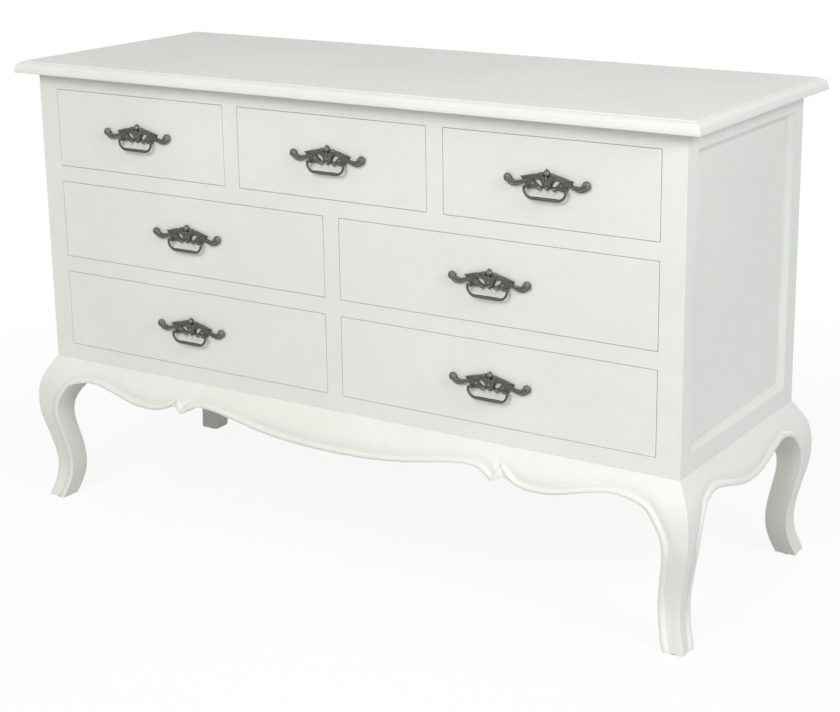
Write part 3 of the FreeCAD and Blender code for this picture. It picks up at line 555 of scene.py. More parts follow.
def reliefAt(places, lines, edge):
    # height of the carving over the plain face, and how much painted shade darkens it there, in a narrow band beside
    # each bead
    top = np.full(len(places), -np.inf)
    channel, hollow, anyTall = np.zeros((3, len(places)))
    legShare = fade((places[:, 1] - base["archFoot"]) / base["legFade"])
    spread = base["channelWidth"] * (1 + base["channelWiden"] * legShare)
    for line, wide, tall, deep in lines:
        near, where = nearestOn(line, places)
        wide, tall, deep = [np.interp(where, np.arange(len(line)), share) for share in (wide, tall, deep)]
        wide = wide * (1 + base["legWiden"] * legShare)
        sunk = base["channelDepth"] * np.minimum(tall, deep)
        inside = near < wide
        bow = np.sqrt(np.clip(1 - (near / wide) ** 2, 0, 1)) ** base["domePower"]
        dome = -sunk + (base["beadRise"] * tall + sunk) * bow
        beside = -sunk * (1 - fade((near - wide) / spread))
        channel = np.where(inside, channel, np.minimum(channel, beside))
        top = np.where(inside, np.maximum(top, dome), top)
        anyTall = np.maximum(anyTall, np.where(inside | (near < wide + base["tallReach"]), tall, 0))
        # a narrow band of painted shade just outside each bead, where the channel is deep
        paintedShade = np.clip(1 - np.abs(near - wide - base["paintedShadeGap"]) / base["paintedShadeWidth"], 0, 1)
        hollow = np.maximum(hollow, paintedShade * deep)
    onBead = np.maximum(top, channel) + base["channelUnder"] * np.where(top > channel, channel, 0)
    height = np.where(np.isfinite(top), onBead, channel)
    away, _ = nearestOn(edge, places)
    arris = base["arris"]
    height -= np.where(away < arris, base["arrisDrop"] * (1 - away / arris) ** 2, 0) * (1 - anyTall)
    return height, hollow


def faceGrid(form):
    # places over one half face: rows run from the lower edge to the case or the leg's ridge
    runs = lowerEdge(form)
    edge = runs[0]
    if form["middle"]:
        tip = lineThrough([runs[0][-1]] + beak["tip"] + [runs[1][0]], beak["tipStep"])
        edge = np.concatenate([runs[0], tip[1:-1], runs[1]])
    legStart = len(edge) - len(legDrops)
    legAlong = edge[legStart][0]
    targets = []
    for n, (along, drop) in enumerate(edge):
        if n < legStart:
            past = max(0, along - form["lean"]) / (legAlong - form["lean"])
            targets.append((along + past ** base["leanPower"] * (form["half"] - legAlong), 0.0))
        else:
            share = min(1, (drop - base["archFoot"]) / base["kneeReach"])
            low = (base["archFoot"] + base["kneeReach"]) * share ** base["kneePower"] if share < 1 else drop
            targets.append((form["half"] + float(proudAt([low])[0]), low))
    targets = np.array(targets)
    length = np.linalg.norm(targets - edge, axis=1)
    rows = [edge + (targets - edge) * np.minimum(d / length, base["rowReach"])[:, None] for d in base["closeRows"]]
    rows += [rows[-1] + (targets - rows[-1]) * share for share in base["farRows"]]
    rows += [targets + (edge - targets) / length[:, None] * base["lastRow"], targets]
    grid = np.array(rows)
    height, hollow = [values.reshape(grid.shape[:2])
                      for values in reliefAt(grid.reshape(-1, 2), beads(form, runs), edge)]
    height[-2:] = 0
    return edge, legStart, grid, height, hollow


def carvedQuarter(form):
    # right front quarter of the base as sheets of points, each with its painted shade beside the beads and its
    # outward direction
    low = base["caseBottom"]
    sheets = []

    def addPlain(points, outward):
        sheets.append((points, np.zeros(points.shape[:2]), outward))

    def skin(faceForm, front):
        edge, legStart, grid, height, hollow = faceGrid(faceForm)
        # the axis that runs through the board, its outward sign, and where the plain face lies on it
        into, sign, flat = (1, -1, base["halfDepth"]) if front else (0, 1, base["halfWidth"])
        apronBack = sign * (flat - base["apronThickness"])
        drop = grid[..., 1]
        ridge = np.zeros(drop.shape)
        ridge[-1, legStart:] = base["ridgeRound"]
        along = grid[..., 0] - ridge
        out = flat + (proudAt(drop.ravel()).reshape(drop.shape) + height) - ridge
        points = np.stack([along, -out, low - drop] if front else [out, -along, low - drop], axis=2)
        sheets.append((points, hollow, (0, -1, 0) if front else (1, 0, 0)))
        # underside of the apron and inner face of the leg
        inner = points[0].copy()
        inner[:legStart, into] = apronBack
        inner[legStart:, into] = sign * (flat - insetAt(edge[legStart:, 1]))
        away = np.abs(points[0] - inner).max(axis=1)[:, None]
        near = [points[0] + (inner - points[0]) * np.minimum(d / away, base["underReach"]) for d in base["underRows"]]
        between = points[0] * base["underSplit"] + inner * (1 - base["underSplit"])
        under = np.array([points[0]] + near + [between, inner])
        addPlain(under[:, :legStart + 1], (0, 0, -1))
        addPlain(under[:, legStart:], (-1, 0, 0) if front else (0, 1, 0))
        # back of the apron and its top under the case
        foot, face = inner[:legStart + 1].copy(), points[-1, :legStart + 1]
        foot[-1, into] = apronBack
        top = foot.copy()
        top[:, 2] = low
        top[:, 1 - into] = face[:, 1 - into]
        addPlain(np.array([foot, top]), (0, 1, 0) if front else (-1, 0, 0))
        addPlain(np.array([top, face]), (0, 0, 1))
        return points, inner

    front, _ = skin(form, True)
    side, sideInner = skin(faceForms["side"], False)
    sole = np.concatenate([front[:, -1], side[::-1, -1][1:], sideInner[-1:]])
    return sheets, sole


def carvedBase():
    points, faces, hollowShades = [], [], []

    def add(places, hollow, rings):
        start = len(points)
        points.extend(places.reshape(-1, 3).tolist())
        hollowShades.extend(hollow.ravel().tolist())
        faces.extend([start + n for n in ring] for ring in rings)

    # top of the leg inside the corner, behind the knees
    post, edge, case = base["postInset"], base["blockInset"], base["caseBottom"]
    x0, x1 = base["halfWidth"] - post, base["halfWidth"] - edge
    y0, y1 = base["halfDepth"] - post, base["halfDepth"] - edge
    block, quads = blockPoints([((x0, -y1, case - base["archFoot"]), (x1, -y0, case))])
    for flipY, form in ((1, faceForms["front"]), (-1, faceForms["rear"])):
        sheets, sole = carvedQuarter(form)
        for flipX in (1, -1):
            flip = np.array([flipX, flipY, 1])
            mirrored = flipX * flipY < 0
            for sheet, hollow, outward in sheets:
                sheet = sheet * flip
                rows, columns = sheet.shape[:2]
                diagonal, other = sheet[1:, 1:] - sheet[:-1, :-1], sheet[:-1, 1:] - sheet[1:, :-1]
                turned = float((np.cross(other, diagonal) @ (np.array(outward) * flip)).sum()) < 0
                rings = [[a, a + columns, a + columns + 1, a + 1]
                         for r in range(rows - 1) for a in range(r * columns, (r + 1) * columns - 1)]
                add(sheet, hollow, [ring[::-1] for ring in rings] if turned else rings)
            ring = list(range(len(sole)))
            add(sole * flip, np.zeros(len(sole)), [ring if mirrored else ring[::-1]])
            add(np.array(block) * flip, np.zeros(len(block)), [quad[::-1] if mirrored else quad for quad in quads])
    made = makeObject("carved_base", points, faces, paintWithShade)
    # the painted shade beside the beads goes to the paint as an attribute
    addAttribute(made, "hollow", hollowShades)
    return softShade(made, sharpAngle=34, mergeAt=0.00002)


def dress(made, body, slotName, *replaced):
    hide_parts(*replaced)
    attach(made, body)


dress(carvedBase(), "carcass", "painted_wood", "front_right_leg", "front_left_leg", "rear_right_leg",
      "rear_left_leg", "knee_blocks", "front_apron", "right_apron", "left_apron", "rear_apron")
print("carved base made")


# Case frame: posts, rails, uprights and side rails, flush and painted over
caseFrame = {"halfWidth": base["halfWidth"], "halfDepth": base["halfDepth"], "bottom": base["caseBottom"],
             "rail": 27.5, "opening": 135.5, "post": 40.0, "postDepth": 36.0, "railDepth": 45.0, "upright": 30.0,
             "sideRail": 30.0, "sideRailDepth": 24.0, "softness": 0.6, "rows": [2, 2, 3]}


def rowPlaces():
    # (lowest height, [(left, right), ...]) of each row of drawers, from the bottom
    c = caseFrame
    inner = c["halfWidth"] - c["post"]
    places = []
    for level, count in enumerate(c["rows"]):
        width = (2 * inner - (count - 1) * c["upright"]) / count
        low = c["bottom"] + c["rail"] + level * (c["rail"] + c["opening"])
        lefts = [-inner + n * (width + c["upright"]) for n in range(count)]
        places.append((low, [(left, left + width) for left in lefts]))
    return places


def caseFrameBoxes():
    c = caseFrame
    w, d, low = c["halfWidth"], c["halfDepth"], c["bottom"]
    inner, y = w - c["post"], d - c["postDepth"]
    level = c["rail"] + c["opening"]
    high = low + c["rail"] + len(c["rows"]) * level
    boxes = []
    for side in (-1, 1):
        x0, x1 = sorted((side * inner, side * w))
        boxes += [((x0, -d, low), (x1, -y, high)), ((x0, y, low), (x1, d, high))]
        x0, x1 = sorted((side * w, side * (w - c["sideRailDepth"])))
        boxes += [((x0, -y, low), (x1, y, low + c["sideRail"])), ((x0, -y, high - c["sideRail"]), (x1, y, high))]
    for n in range(len(c["rows"]) + 1):
        boxes.append(((-inner, -d, low + n * level), (inner, -d + c["railDepth"], low + n * level + c["rail"])))
    for z, openings in rowPlaces():
        for (_, left), (right, _) in zip(openings, openings[1:]):
            boxes.append(((left, -d, z), (right, -d + c["railDepth"], z + c["opening"])))
    return boxes


dress(joinery("case_frame", caseFrameBoxes(), paint, caseFrame["softness"]), "carcass", "painted_wood",
      "corner_posts", "front_rails", "front_muntins", "side_rails")


# Top board: moulded edge of a fillet, a lip, a broad round and a small step up to the flat
topBoard = {"halfWidth": 650.0, "halfDepth": 245.0, "low": 787.0, "high": 807.0, "round": 11.0, "roundDrop": 12.0,
            "roundAngles": (3, 12, 22, 32, 42, 52, 62, 72, 82, 88), "lip": 0.6, "step": 1.6, "cornerRadius": 1.5,
            "cornerSteps": 3,
            # softened edges as (inset, height): from the underside, the lip's two ends, and the step's foot and head
            "underEdge": [(1.0, 0.0), (0.3, 0.3), (0.0, 1.0)], "lipFoot": [(0.0, -0.5), (0.25, 0.1)],
            "lipHead": [(-0.1, -0.15)], "stepFoot": [(-0.35, 0.05), (-0.02, 0.4)],
            "stepHead": [(0.0, -0.6), (0.15, -0.15), (0.7, 0.0)]}


def topProfile():
    # (inset, height) from the underside up to the flat
    t = topBoard
    stepLow = t["high"] - t["step"]
    roundLow = stepLow - t["roundDrop"]
    lipLow = roundLow - t["lip"]
    edge = t["lip"] * 2 + t["round"]

    def soften(name, inset, height):
        return [(inset + across, height + rise) for across, rise in t[name]]

    profile = soften("underEdge", 0.0, t["low"]) + soften("lipFoot", 0.0, lipLow)
    profile += soften("lipHead", t["lip"], roundLow)
    for angle in t["roundAngles"]:
        a = math.radians(angle)
        profile.append((t["lip"] + t["round"] * (1 - math.cos(a)), roundLow + t["roundDrop"] * math.sin(a)))
    return profile + soften("stepFoot", edge, stepLow) + soften("stepHead", edge, t["high"])


def roundedCorners(halfU, halfV):
    radius, count = topBoard["cornerRadius"], topBoard["cornerSteps"]
    loop = []
    for su, sv, turn in ((1, -1, -90), (1, 1, 0), (-1, 1, 90), (-1, -1, 180)):
        for step in range(count + 1):
            angle = math.radians(turn + 90 * step / count)
            loop.append((su * (halfU - radius) + radius * math.cos(angle),
                         sv * (halfV - radius) + radius * math.sin(angle)))
    return loop


def topBoardPiece():
    t = topBoard
    loops = [[(x, y, height) for x, y in roundedCorners(t["halfWidth"] - inset, t["halfDepth"] - inset)]
             for inset, height in topProfile()]
    count = len(loops[0])
    points = [point for loop in loops for point in loop]
    caps = [list(range(count))[::-1], list(range(len(points) - count, len(points)))]
    made = makeObject("top_board_moulded", points, bands(len(loops), count) + caps, paint)
    return evenNormals(softShade(made, sharpAngle=50))


dress(topBoardPiece(), "carcass", "painted_wood", "top_board")


# Panel mouldings: a slope, crisp beside the frame and slightly hollow, that runs out on the panel
panelMoulding = {"plane": 610.0, "y": 179.0, "low": 300.5, "high": 757.0,
                 "profile": [(0.0, 0.0), (0.0, 9.85), (0.3, 9.8), (0.8, 9.3), (2.0, 7.95), (3.4, 6.45), (4.9, 4.95),
                             (6.4, 3.55), (7.9, 2.3), (9.3, 1.35), (10.4, 0.75), (11.0, 0.45), (11.0, 0.0)]}


def panelMouldings():
    p = panelMoulding
    points, faces = [], []
    middle, half = (p["low"] + p["high"]) / 2, (p["high"] - p["low"]) / 2
    for side in (-1, 1):
        rings = bands(len(p["profile"]), 4, len(points), closed=True)
        faces += [ring if side > 0 else ring[::-1] for ring in rings]
        points += [(side * (p["plane"] + rise), sy * (p["y"] - inset), middle + sz * (half - inset))
                   for inset, rise in p["profile"] for sy, sz in ((1, -1), (1, 1), (-1, 1), (-1, -1))]
    return softShade(makeObject("side_panel_mouldings", points, faces, paint), sharpAngle=42)


dress(panelMouldings(), "carcass", "painted_wood", "panel_mouldings")
print("case made")


# Drawers: painted fronts and boxes of pale wood
drawerForm = {"gap": 0.75, "sideGap": 1.0, "lift": 0.3, "front": 20.0, "side": 12.0, "top": 118.3, "bottomLift": 8.0,
              "bottom": 5.0, "softness": 0.7, "boxSoftness": 1.2, "bottomSoftness": 0.4}


def drawerPieces(name, left, right, low):
    d = drawerForm
    gap, side, soft = d["gap"], d["side"], d["boxSoftness"]
    y0, y1 = -caseFrame["halfDepth"], -caseFrame["halfDepth"] + d["front"]
    panel = ((left + gap, y0, low + gap), (right - gap, y1, low + caseFrame["opening"] - gap))
    dress(joinery(name + "_front_panel", [panel], paint, d["softness"], 3), name + "_drawer", "painted_wood",
          name + "_drawer_front")
    x0, x1 = left + d["sideGap"], right - d["sideGap"]
    z0, z1 = low + d["lift"], low + d["top"]
    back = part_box(name + "_drawer_box")[1].y / mm
    floor = z0 + d["bottomLift"]
    onFloor = floor + d["bottom"]
    # each board: its low and high corners, the axis of its grain, its softness
    boards = [((x0, y1, z0), (x0 + side, back, z1), 1, soft),
              ((x1 - side, y1, z0), (x1, back, z1), 1, soft),
              ((x0 + side, back - side, onFloor), (x1 - side, back, z1), 0, soft),
              ((x0 + side, y1, floor), (x1 - side, back, onFloor), 0, d["bottomSoftness"])]
    parts = []
    for n, (lowest, highest, grain, softness) in enumerate(boards):
        parts.append(joinery(name + "_board" + str(n), [(lowest, highest)], drawerWood, softness))
        grainUv(parts[n], grain)
    dress(joinObjects(name + "_box_boards", parts), name + "_drawer", "drawer_wood", name + "_drawer_box")


openings = dict(zip(drawerNames, [(left, right, low) for low, row in rowPlaces() for left, right in row]))
for drawerName in drawerNames:
    drawerPieces(drawerName, *openings[drawerName])
print("drawers made")


# Pulls. A pull's own place is its middle, on the drawer front, at the plate's lowest point
pull = {"axisOut": 10.7, "pinHeight": 5.2, "plateLow": 11.0, "slabBack": 1.3, "slabFront": 3.9,
        # how far the strokes are sunk in the plate, and how they are flattened towards a middle plane
        "sink": 2.7, "relief": 0.66, "midPlane": 7.2, "strokeStep": 0.6, "strokeSides": 14,
        "voxel": 0.42, "keptFaces": 0.34, "back": 1.0, "highest": 12.9,
        # room for the bail's arms: across, up to a height, and how far out the casting may be there
        "clearFrom": 32.3, "clearTo": 38.2, "clearTop": 8.8, "clearFront": 8.25,
        "lugIn": 27.7, "lugOut": 32.7, "lugRadius": 2.75, "lugRim": [(0.7, 0), (0.2, 0.25), (0, 0.8)],
        "boreRadius": 1.62, "neckHalf": 2.2, "neckBack": 3.0, "neckGap": 0.35, "postRadius": 4.5,
        "postLength": 5.0, "postFoot": [(0.3, 0.05), (0.0, 0.4)], "sides": 28}
plateHalf = [(0, 32.0), (2.2, 30.4), (3.8, 27.8), (5.6, 26.6), (8.0, 27.0), (10.4, 27.2), (13.2, 25.4), (17.6, 24.3),
             (23.8, 23.3), (31.6, 21.0), (37.8, 19.3), (43.6, 18.0), (41.6, 15.2), (41.2, 13.6), (44.8, 12.0),
             (49.4, 11.0), (55.0, 11.2), (57.5, 12.5), (57.5, 6.0), (52.0, 4.0), (45.4, 5.6), (38.6, 8.6),
             (35.8, 7.6), (34.0, 4.0), (28.0, 3.6), (21.0, 3.2), (16.0, 2.6), (13.0, 1.1), (9.6, 2.0), (6.8, 3.4),
             (4.4, 3.4), (2.4, 1.6), (0, 1.0)]
eyeHalf = [(7.9, 6.4), (8.4, 9.6), (9.9, 12.8), (12.3, 15.2), (15.4, 16.7), (19.0, 17.3), (23.4, 16.6), (20.6, 13.4),
           (17.4, 10.4), (14.2, 7.8), (10.8, 6.3)]
# strokes of the carving on the right half: (across, height, out, radius)
strokes = [
    # three ribs of the wing
    [(14, 23.7, 8.3, 1.6), (20, 23.2, 8.7, 1.6), (26, 22.0, 8.7, 1.6), (32, 20.3, 8.3, 1.5), (38, 18.9, 7.6, 1.2),
     (42, 18.4, 7.2, 0.9), (45.2, 18.5, 6.8, 0.4)],
    [(12.0, 21.6, 8.3, 1.3), (19, 20.6, 8.9, 1.5), (25, 19.2, 8.9, 1.5), (31, 17.7, 8.3, 1.4), (37, 16.8, 7.3, 1.1),
     (43.4, 17.8, 6.8, 0.5)],
    [(9.0, 19.6, 8.2, 1.3), (16, 18.6, 8.6, 1.3), (23, 16.9, 8.6, 1.4), (29, 15.1, 8.2, 1.5), (35, 14.2, 7.3, 1.4),
     (40.5, 15.4, 6.8, 0.9)],
    # rolled leaf beside the bud
    [(9.8, 20.4, 8.6, 1.3), (7.5, 23.0, 9.0, 1.4), (8.2, 25.9, 9.2, 1.5), (10.8, 26.7, 9.4, 1.5),
     (13.1, 25.0, 9.4, 1.4), (12.6, 22.8, 9.6, 1.2), (10.6, 23.4, 10.2, 1.2), (10.6, 24.8, 10.8, 1.3)],
    # rims of the eye
    [(5.4, 5.2, 8.0, 1.3), (6.0, 8.4, 8.2, 1.4), (7.3, 12.8, 8.2, 1.5), (10.4, 16.9, 8.0, 1.5),
     (15.0, 18.8, 8.0, 1.4)],
    [(8.8, 4.4, 8.0, 1.2), (12.2, 5.1, 8.2, 1.3), (15.8, 6.6, 8.2, 1.4), (19.6, 9.2, 8.0, 1.5),
     (23.6, 12.2, 7.8, 1.7), (27.4, 13.6, 7.4, 1.9)],
    # pad and scroll below the wing
    [(31.0, 9.4, 6.6, 2.4), (26.4, 8.6, 7.0, 3.2), (21.6, 7.6, 7.0, 2.8), (16.6, 5.4, 6.8, 1.8)],
    [(30.0, 12.4, 7.4, 2.2), (31.2, 8.8, 7.8, 2.2), (28.4, 5.6, 8.2, 2.2), (24.2, 5.4, 8.8, 2.0),
     (22.2, 8.2, 9.2, 1.8), (24.6, 10.2, 9.4, 1.6), (26.4, 8.6, 9.8, 1.4)],
    # lobes of the lower edge
    [(17.0, 4.6, 8.0, 1.6), (13.8, 3.0, 8.4, 3.1), (11.0, 3.0, 8.4, 2.8), (8.8, 4.4, 8.2, 1.5)],
    [(17.6, 5.2, 8.0, 1.5), (21.5, 4.5, 8.2, 2.3), (26.0, 4.9, 7.8, 2.4), (31.0, 5.3, 7.2, 2.4),
     (35.0, 6.0, 6.6, 2.3)],
    # arm and its knob
    [(29, 13.0, 7.2, 2.2), (36, 12.4, 7.2, 2.9), (42, 10.4, 7.3, 3.3), (48, 8.3, 7.4, 3.9), (54, 7.2, 7.5, 4.6),
     (60, 8.4, 7.6, 5.3), (64.2, 11.4, 7.6, 5.8), (66.2, 14.4, 7.5, 5.8)],
    [(66.2, 7.4, 7.5, 1.0), (66.2, 8.4, 7.5, 4.4), (66.2, 11.0, 7.5, 6.4), (66.2, 14.3, 7.5, 7.0),
     (66.2, 17.6, 7.5, 6.4), (66.2, 20.2, 7.5, 4.4), (66.2, 21.2, 7.5, 1.0)],
    # veins that run along the arm into the volute
    [(33, 10.8, 10.0, 0.5), (42, 8.2, 10.9, 0.8), (50, 5.8, 11.5, 0.9), (57, 5.6, 12.3, 1.0), (63, 8.4, 13.0, 1.1),
     (67.8, 10.4, 13.4, 1.1), (70.6, 14.2, 13.2, 1.1), (68.6, 18.2, 13.2, 1.1), (64.8, 17.6, 13.6, 1.0),
     (63.8, 14.2, 13.9, 1.0), (66.2, 13.0, 14.2, 1.1), (67.2, 15.0, 14.4, 1.3)],
    [(36, 14.4, 9.6, 0.4), (44, 12.0, 10.5, 0.8), (52, 10.2, 11.5, 0.9), (58, 11.4, 12.5, 1.0),
     (61.2, 14.8, 13.0, 0.9), (62.2, 18.6, 12.2, 0.6)],
    # cheeks that fill the mask between the eyes
    [(2.8, 3.8, 6.8, 2.0), (3.2, 7.6, 7.2, 3.0), (3.8, 12.0, 7.6, 3.6), (5.4, 16.8, 7.6, 3.6), (9.0, 20.2, 7.2, 3.0)],
    # folds of the mask between the eyes
    [(3.0, 4.6, 8.6, 1.0), (4.7, 7.6, 8.9, 1.3), (5.2, 11.4, 9.1, 1.3), (4.4, 15.0, 9.5, 1.3), (2.6, 17.4, 9.7, 1.1)],
    [(1.2, 17.6, 9.8, 1.2), (4.4, 19.2, 9.7, 1.4), (8.2, 20.4, 9.2, 1.4), (12.4, 20.4, 8.6, 1.2)],
]
middleStrokes = [
    [(0, 1.2, 8.0, 1.4), (0, 2.8, 8.8, 2.6), (0, 5.0, 9.0, 2.3), (0, 7.2, 9.0, 1.2)],
    [(0, 8.0, 9.0, 1.3), (0, 9.8, 9.8, 2.3), (0, 12.4, 10.2, 2.2), (0, 15.6, 10.1, 1.5), (0, 18.6, 10.1, 1.8),
     (0, 22.0, 9.4, 1.5)],
    [(0, 21.8, 8.2, 1.4), (0, 24.0, 8.2, 4.4), (0, 26.6, 8.2, 5.6), (0, 29.0, 8.0, 4.3), (0, 31.0, 7.8, 2.4),
     (0, 32.5, 7.6, 1.3), (0, 33.3, 7.4, 0.3)],
    [(0, 23.4, 12.4, 0.7), (0, 26.4, 13.8, 0.9), (0, 29.4, 12.6, 0.8), (0, 32.2, 9.8, 0.4)],
]


def newTree(name, sizes):
    # geometry tree with an input for each size: its graph and the wires of its inputs
    tree = bpy.data.node_groups.new(name, "GeometryNodeTree")
    face = tree.interface
    face.new_socket("Geometry", in_out="INPUT", socket_type="NodeSocketGeometry")
    for label, value in sizes.items():
        face.new_socket(label, in_out="INPUT", socket_type="NodeSocketFloat").default_value = value
    face.new_socket("Material", in_out="INPUT", socket_type="NodeSocketMaterial")
    face.new_socket("Geometry", in_out="OUTPUT", socket_type="NodeSocketGeometry")
    g = Graph(tree)
    sockets = g.node("NodeGroupInput").socket.node.outputs
    return g, {socket.name: Wire(g, socket) for socket in sockets if socket.name}


def closeTree(g, geometry, material):
    real = g.node("GeometryNodeRealizeInstances", {"Geometry": geometry})
    done = g.node("GeometryNodeSetMaterial", {"Geometry": real, "Material": material})
    g.node("NodeGroupOutput", {"Geometry": done})
    return g.tree


def runTree(made, tree, sizes, material):
    values = {**sizes, "Material": material}
    modifier = addModifier(made, "NODES", node_group=tree)
    for item in tree.interface.items_tree:
        if item.in_out == "INPUT" and item.name in values:
            modifier[item.identifier] = values[item.name]
    return bakeModifiers(made)


def evenCurve(g, curve, length):
    return g.node("GeometryNodeResampleCurve", {"Curve": curve, "Length": length}, mode="LENGTH")


def rodAlong(g, curve, radius, sides):
    ring = g.node("GeometryNodeCurvePrimitiveCircle", {"Resolution": sides, "Radius": 1.0})
    return g.node("GeometryNodeCurveToMesh", {"Curve": curve, "Profile Curve": ring, "Scale": radius,
                                              "Fill Caps": True})


def strokeTree(sizes):
    # a rod along every stroke, as thick as the stroke says, flattened towards the middle plane
    g, wires = newTree("castStrokes", sizes)
    even = evenCurve(g, wires["Geometry"], wires["Step Length"])
    swept = rodAlong(g, even, g.node("GeometryNodeInputRadius"), pull["strokeSides"])
    x, y, z = g.parts(g.node("GeometryNodeInputPosition"))
    middle = wires["Mid Plane"]
    squashed = g.vector(x, (y + middle) * wires["Relief"] - middle, z)
    flat = g.node("GeometryNodeSetPosition", {"Geometry": swept, "Position": squashed})
    return closeTree(g, flat, wires["Material"])


def curveObject(name, kind, lines, dimensions="3D", **settings):
    # one spline for each line of (x, y, z) or (x, y, z, radius)
    curve = bpy.data.curves.new(name, "CURVE")
    curve.dimensions = dimensions
    for line in lines:
        spline = curve.splines.new(kind)
        spline.points.add(len(line) - 1)
        for point, (x, y, z, *radius) in zip(spline.points, line):
            point.co = (x * mm, y * mm, z * mm, 1)
            if radius:
                point.radius = radius[0] * mm
        for setting, value in settings.items():  # after the points, or the order isn't kept
            setattr(spline, setting, value)
    return newObject(name, curve)


def plateSlab():
    # flat web of the casting with its two eyes
    outline = plateHalf + [(-x, z) for x, z in plateHalf[-2:0:-1]]
    loops = [outline] + [[(sign * x, z) for x, z in eyeHalf] for sign in (-1, 1)]
    flat = curveObject("web", "POLY", [[(x, z, 0) for x, z in loop] for loop in loops], "2D", use_cyclic_u=True)
    flat.data.fill_mode = "BOTH"
    flat.data.extrude = (pull["slabFront"] - pull["slabBack"]) / 2 * mm
    made = bakeModifiers(flat)
    middle = (pull["slabFront"] + pull["slabBack"]) / 2 * mm
    made.data.transform(Matrix.Translation((0, -middle, 0)) @ Matrix.Rotation(math.radians(90), 4, "X"))
    return made


def dropTwins(work):
    # the thinning can leave two triangles on the same three points
    twins = [face for face in work.faces if len({near for edge in face.edges for near in edge.link_faces}) == 2]
    bmesh.ops.delete(work, geom=twins, context="FACES")


def plateMesh():
    p = pull
    lines = middleStrokes + [[(sign * x, z, out, radius) for x, z, out, radius in line]
                             for line in strokes for sign in (-1, 1)]
    lines = [[(x, p["sink"] - out, z, radius) for x, z, out, radius in line] for line in lines]
    carving = curveObject("carving", "NURBS", lines, order_u=3, use_endpoint_u=True, resolution_u=8)
    sizes = {"Step Length": p["strokeStep"] * mm, "Relief": p["relief"],
             "Mid Plane": (p["midPlane"] - p["sink"]) * mm}
    whole = joinObjects("casting", [runTree(carving, strokeTree(sizes), sizes, casting), plateSlab()])
    addModifier(whole, "REMESH", mode="VOXEL", voxel_size=p["voxel"] * mm)
    addModifier(whole, "SMOOTH", factor=0.5, iterations=1)
    whole = bakeModifiers(whole)
    mesh = whole.data
    co = np.zeros(len(mesh.vertices) * 3)
    mesh.vertices.foreach_get("co", co)
    co = co.reshape(-1, 3) / mm
    x, y, z = co.T
    inArms = (np.abs(x) > p["clearFrom"]) & (np.abs(x) < p["clearTo"]) & (z < p["clearTop"])
    co[:, 1] = np.maximum(np.minimum(y, -p["back"]), np.where(inArms, -p["clearFront"], -p["highest"]))
    mesh.vertices.foreach_set("co", (co * mm).ravel())
    mesh.update()
    addModifier(whole, "DECIMATE", ratio=p["keptFaces"])
    whole = editMesh(bakeModifiers(whole), dropTwins)
    whole.data.shade_smooth()
    return whole


# Rubbing of the casting: how much shows from a point's own rise and from how far out it stands, and
# how little on the knobs, where the wash stays
rubbing = {"passes": 3, "rise": 0.35, "front": 0.35, "frontFrom": 4.2, "frontDepth": 6.5, "knobFrom": 9.6,
           "knobShare": 0.45, "plate": 0.30, "bail": 0.40}


def highSpots(made, lift):
    # how far each point stands out from its neighbourhood, kept as an attribute for the rubbing
    r = rubbing
    work = bmesh.new()
    work.from_mesh(made.data)
    work.verts.ensure_lookup_table()
    work.normal_update()
    links = [[edge.other_vert(vert).index for edge in vert.link_edges] for vert in work.verts]
    co = np.array([vert.co[:] for vert in work.verts])
    normal = np.array([vert.normal[:] for vert in work.verts])
    work.free()
    rise = np.zeros(len(co))
    for index, ring in enumerate(links):
        if ring:
            rise[index] = float(((co[index] - co[ring].mean(axis=0)) * normal[index]).sum())
    for _ in range(r["passes"]):
        rise = np.array([0.5 * rise[n] + 0.5 * rise[ring].mean() if ring else 0 for n, ring in enumerate(links)])
    rise = rise / (np.percentile(np.abs(rise), 90) + 1e-9)
    out = -co[:, 1] / mm
    front = np.clip((out - r["frontFrom"]) / r["frontDepth"], 0, 1)
    high = np.clip(lift + r["rise"] * rise + r["front"] * front, 0, 1)
    addAttribute(made, "high", high * np.where(out > r["knobFrom"], r["knobShare"], 1.0))
    return made


def castPart(name, points, faces):
    made = softShade(makeObject(name, points, faces, casting), sharpAngle=50)
    return editMesh(made, lambda work: bmesh.ops.recalc_face_normals(work, faces=work.faces))


def lathe(profile, axis, centre):
    # round solid through (radius, place along the axis), closed at both ends, as points and faces
    count = pull["sides"]
    points = []
    for radius, place in profile:
        for n in range(count):
            angle = 2 * math.pi * n / count
            c, s = radius * math.cos(angle), radius * math.sin(angle)
            points.append((centre[0] + place, centre[1] + c, centre[2] + s) if axis == 0
                          else (centre[0] + c, centre[1] + place, centre[2] + s))
    return points, bands(len(profile), count)


def platePiece():
    p = pull
    parts = [plateMesh()]
    out, pin, radius, bore, half = p["axisOut"], p["pinHeight"], p["lugRadius"], p["boreRadius"], p["neckHalf"]
    length = p["lugOut"] - p["lugIn"]
    # a lug's outer skin and bore, joined at both ends
    rim = [(radius - cut, place) for cut, place in p["lugRim"]]
    lug = [(bore, 0)] + rim + [(r, length - place) for r, place in rim[::-1]] + [(bore, length), (bore, 0)]
    wide, foot = p["postRadius"], p["postFoot"]
    post = [(0, -foot[0][1])] + [(wide - cut, -deep) for cut, deep in foot]
    post += [(wide, -p["postLength"]), (0, -p["postLength"])]
    for start in (-p["lugOut"], p["lugIn"]):
        parts.append(castPart("lug", *lathe(lug, 0, (start, -out, pin))))
        neck = ((start, -out + bore + p["neckGap"], pin - half), (start + length, -p["neckBack"], pin + half))
        parts.append(castPart("neck", *blockPoints([neck])))
        parts.append(castPart("post", *lathe(post, 1, (start + length / 2, 0, pin))))
    return highSpots(joinObjects("plate_pattern", parts), rubbing["plate"])


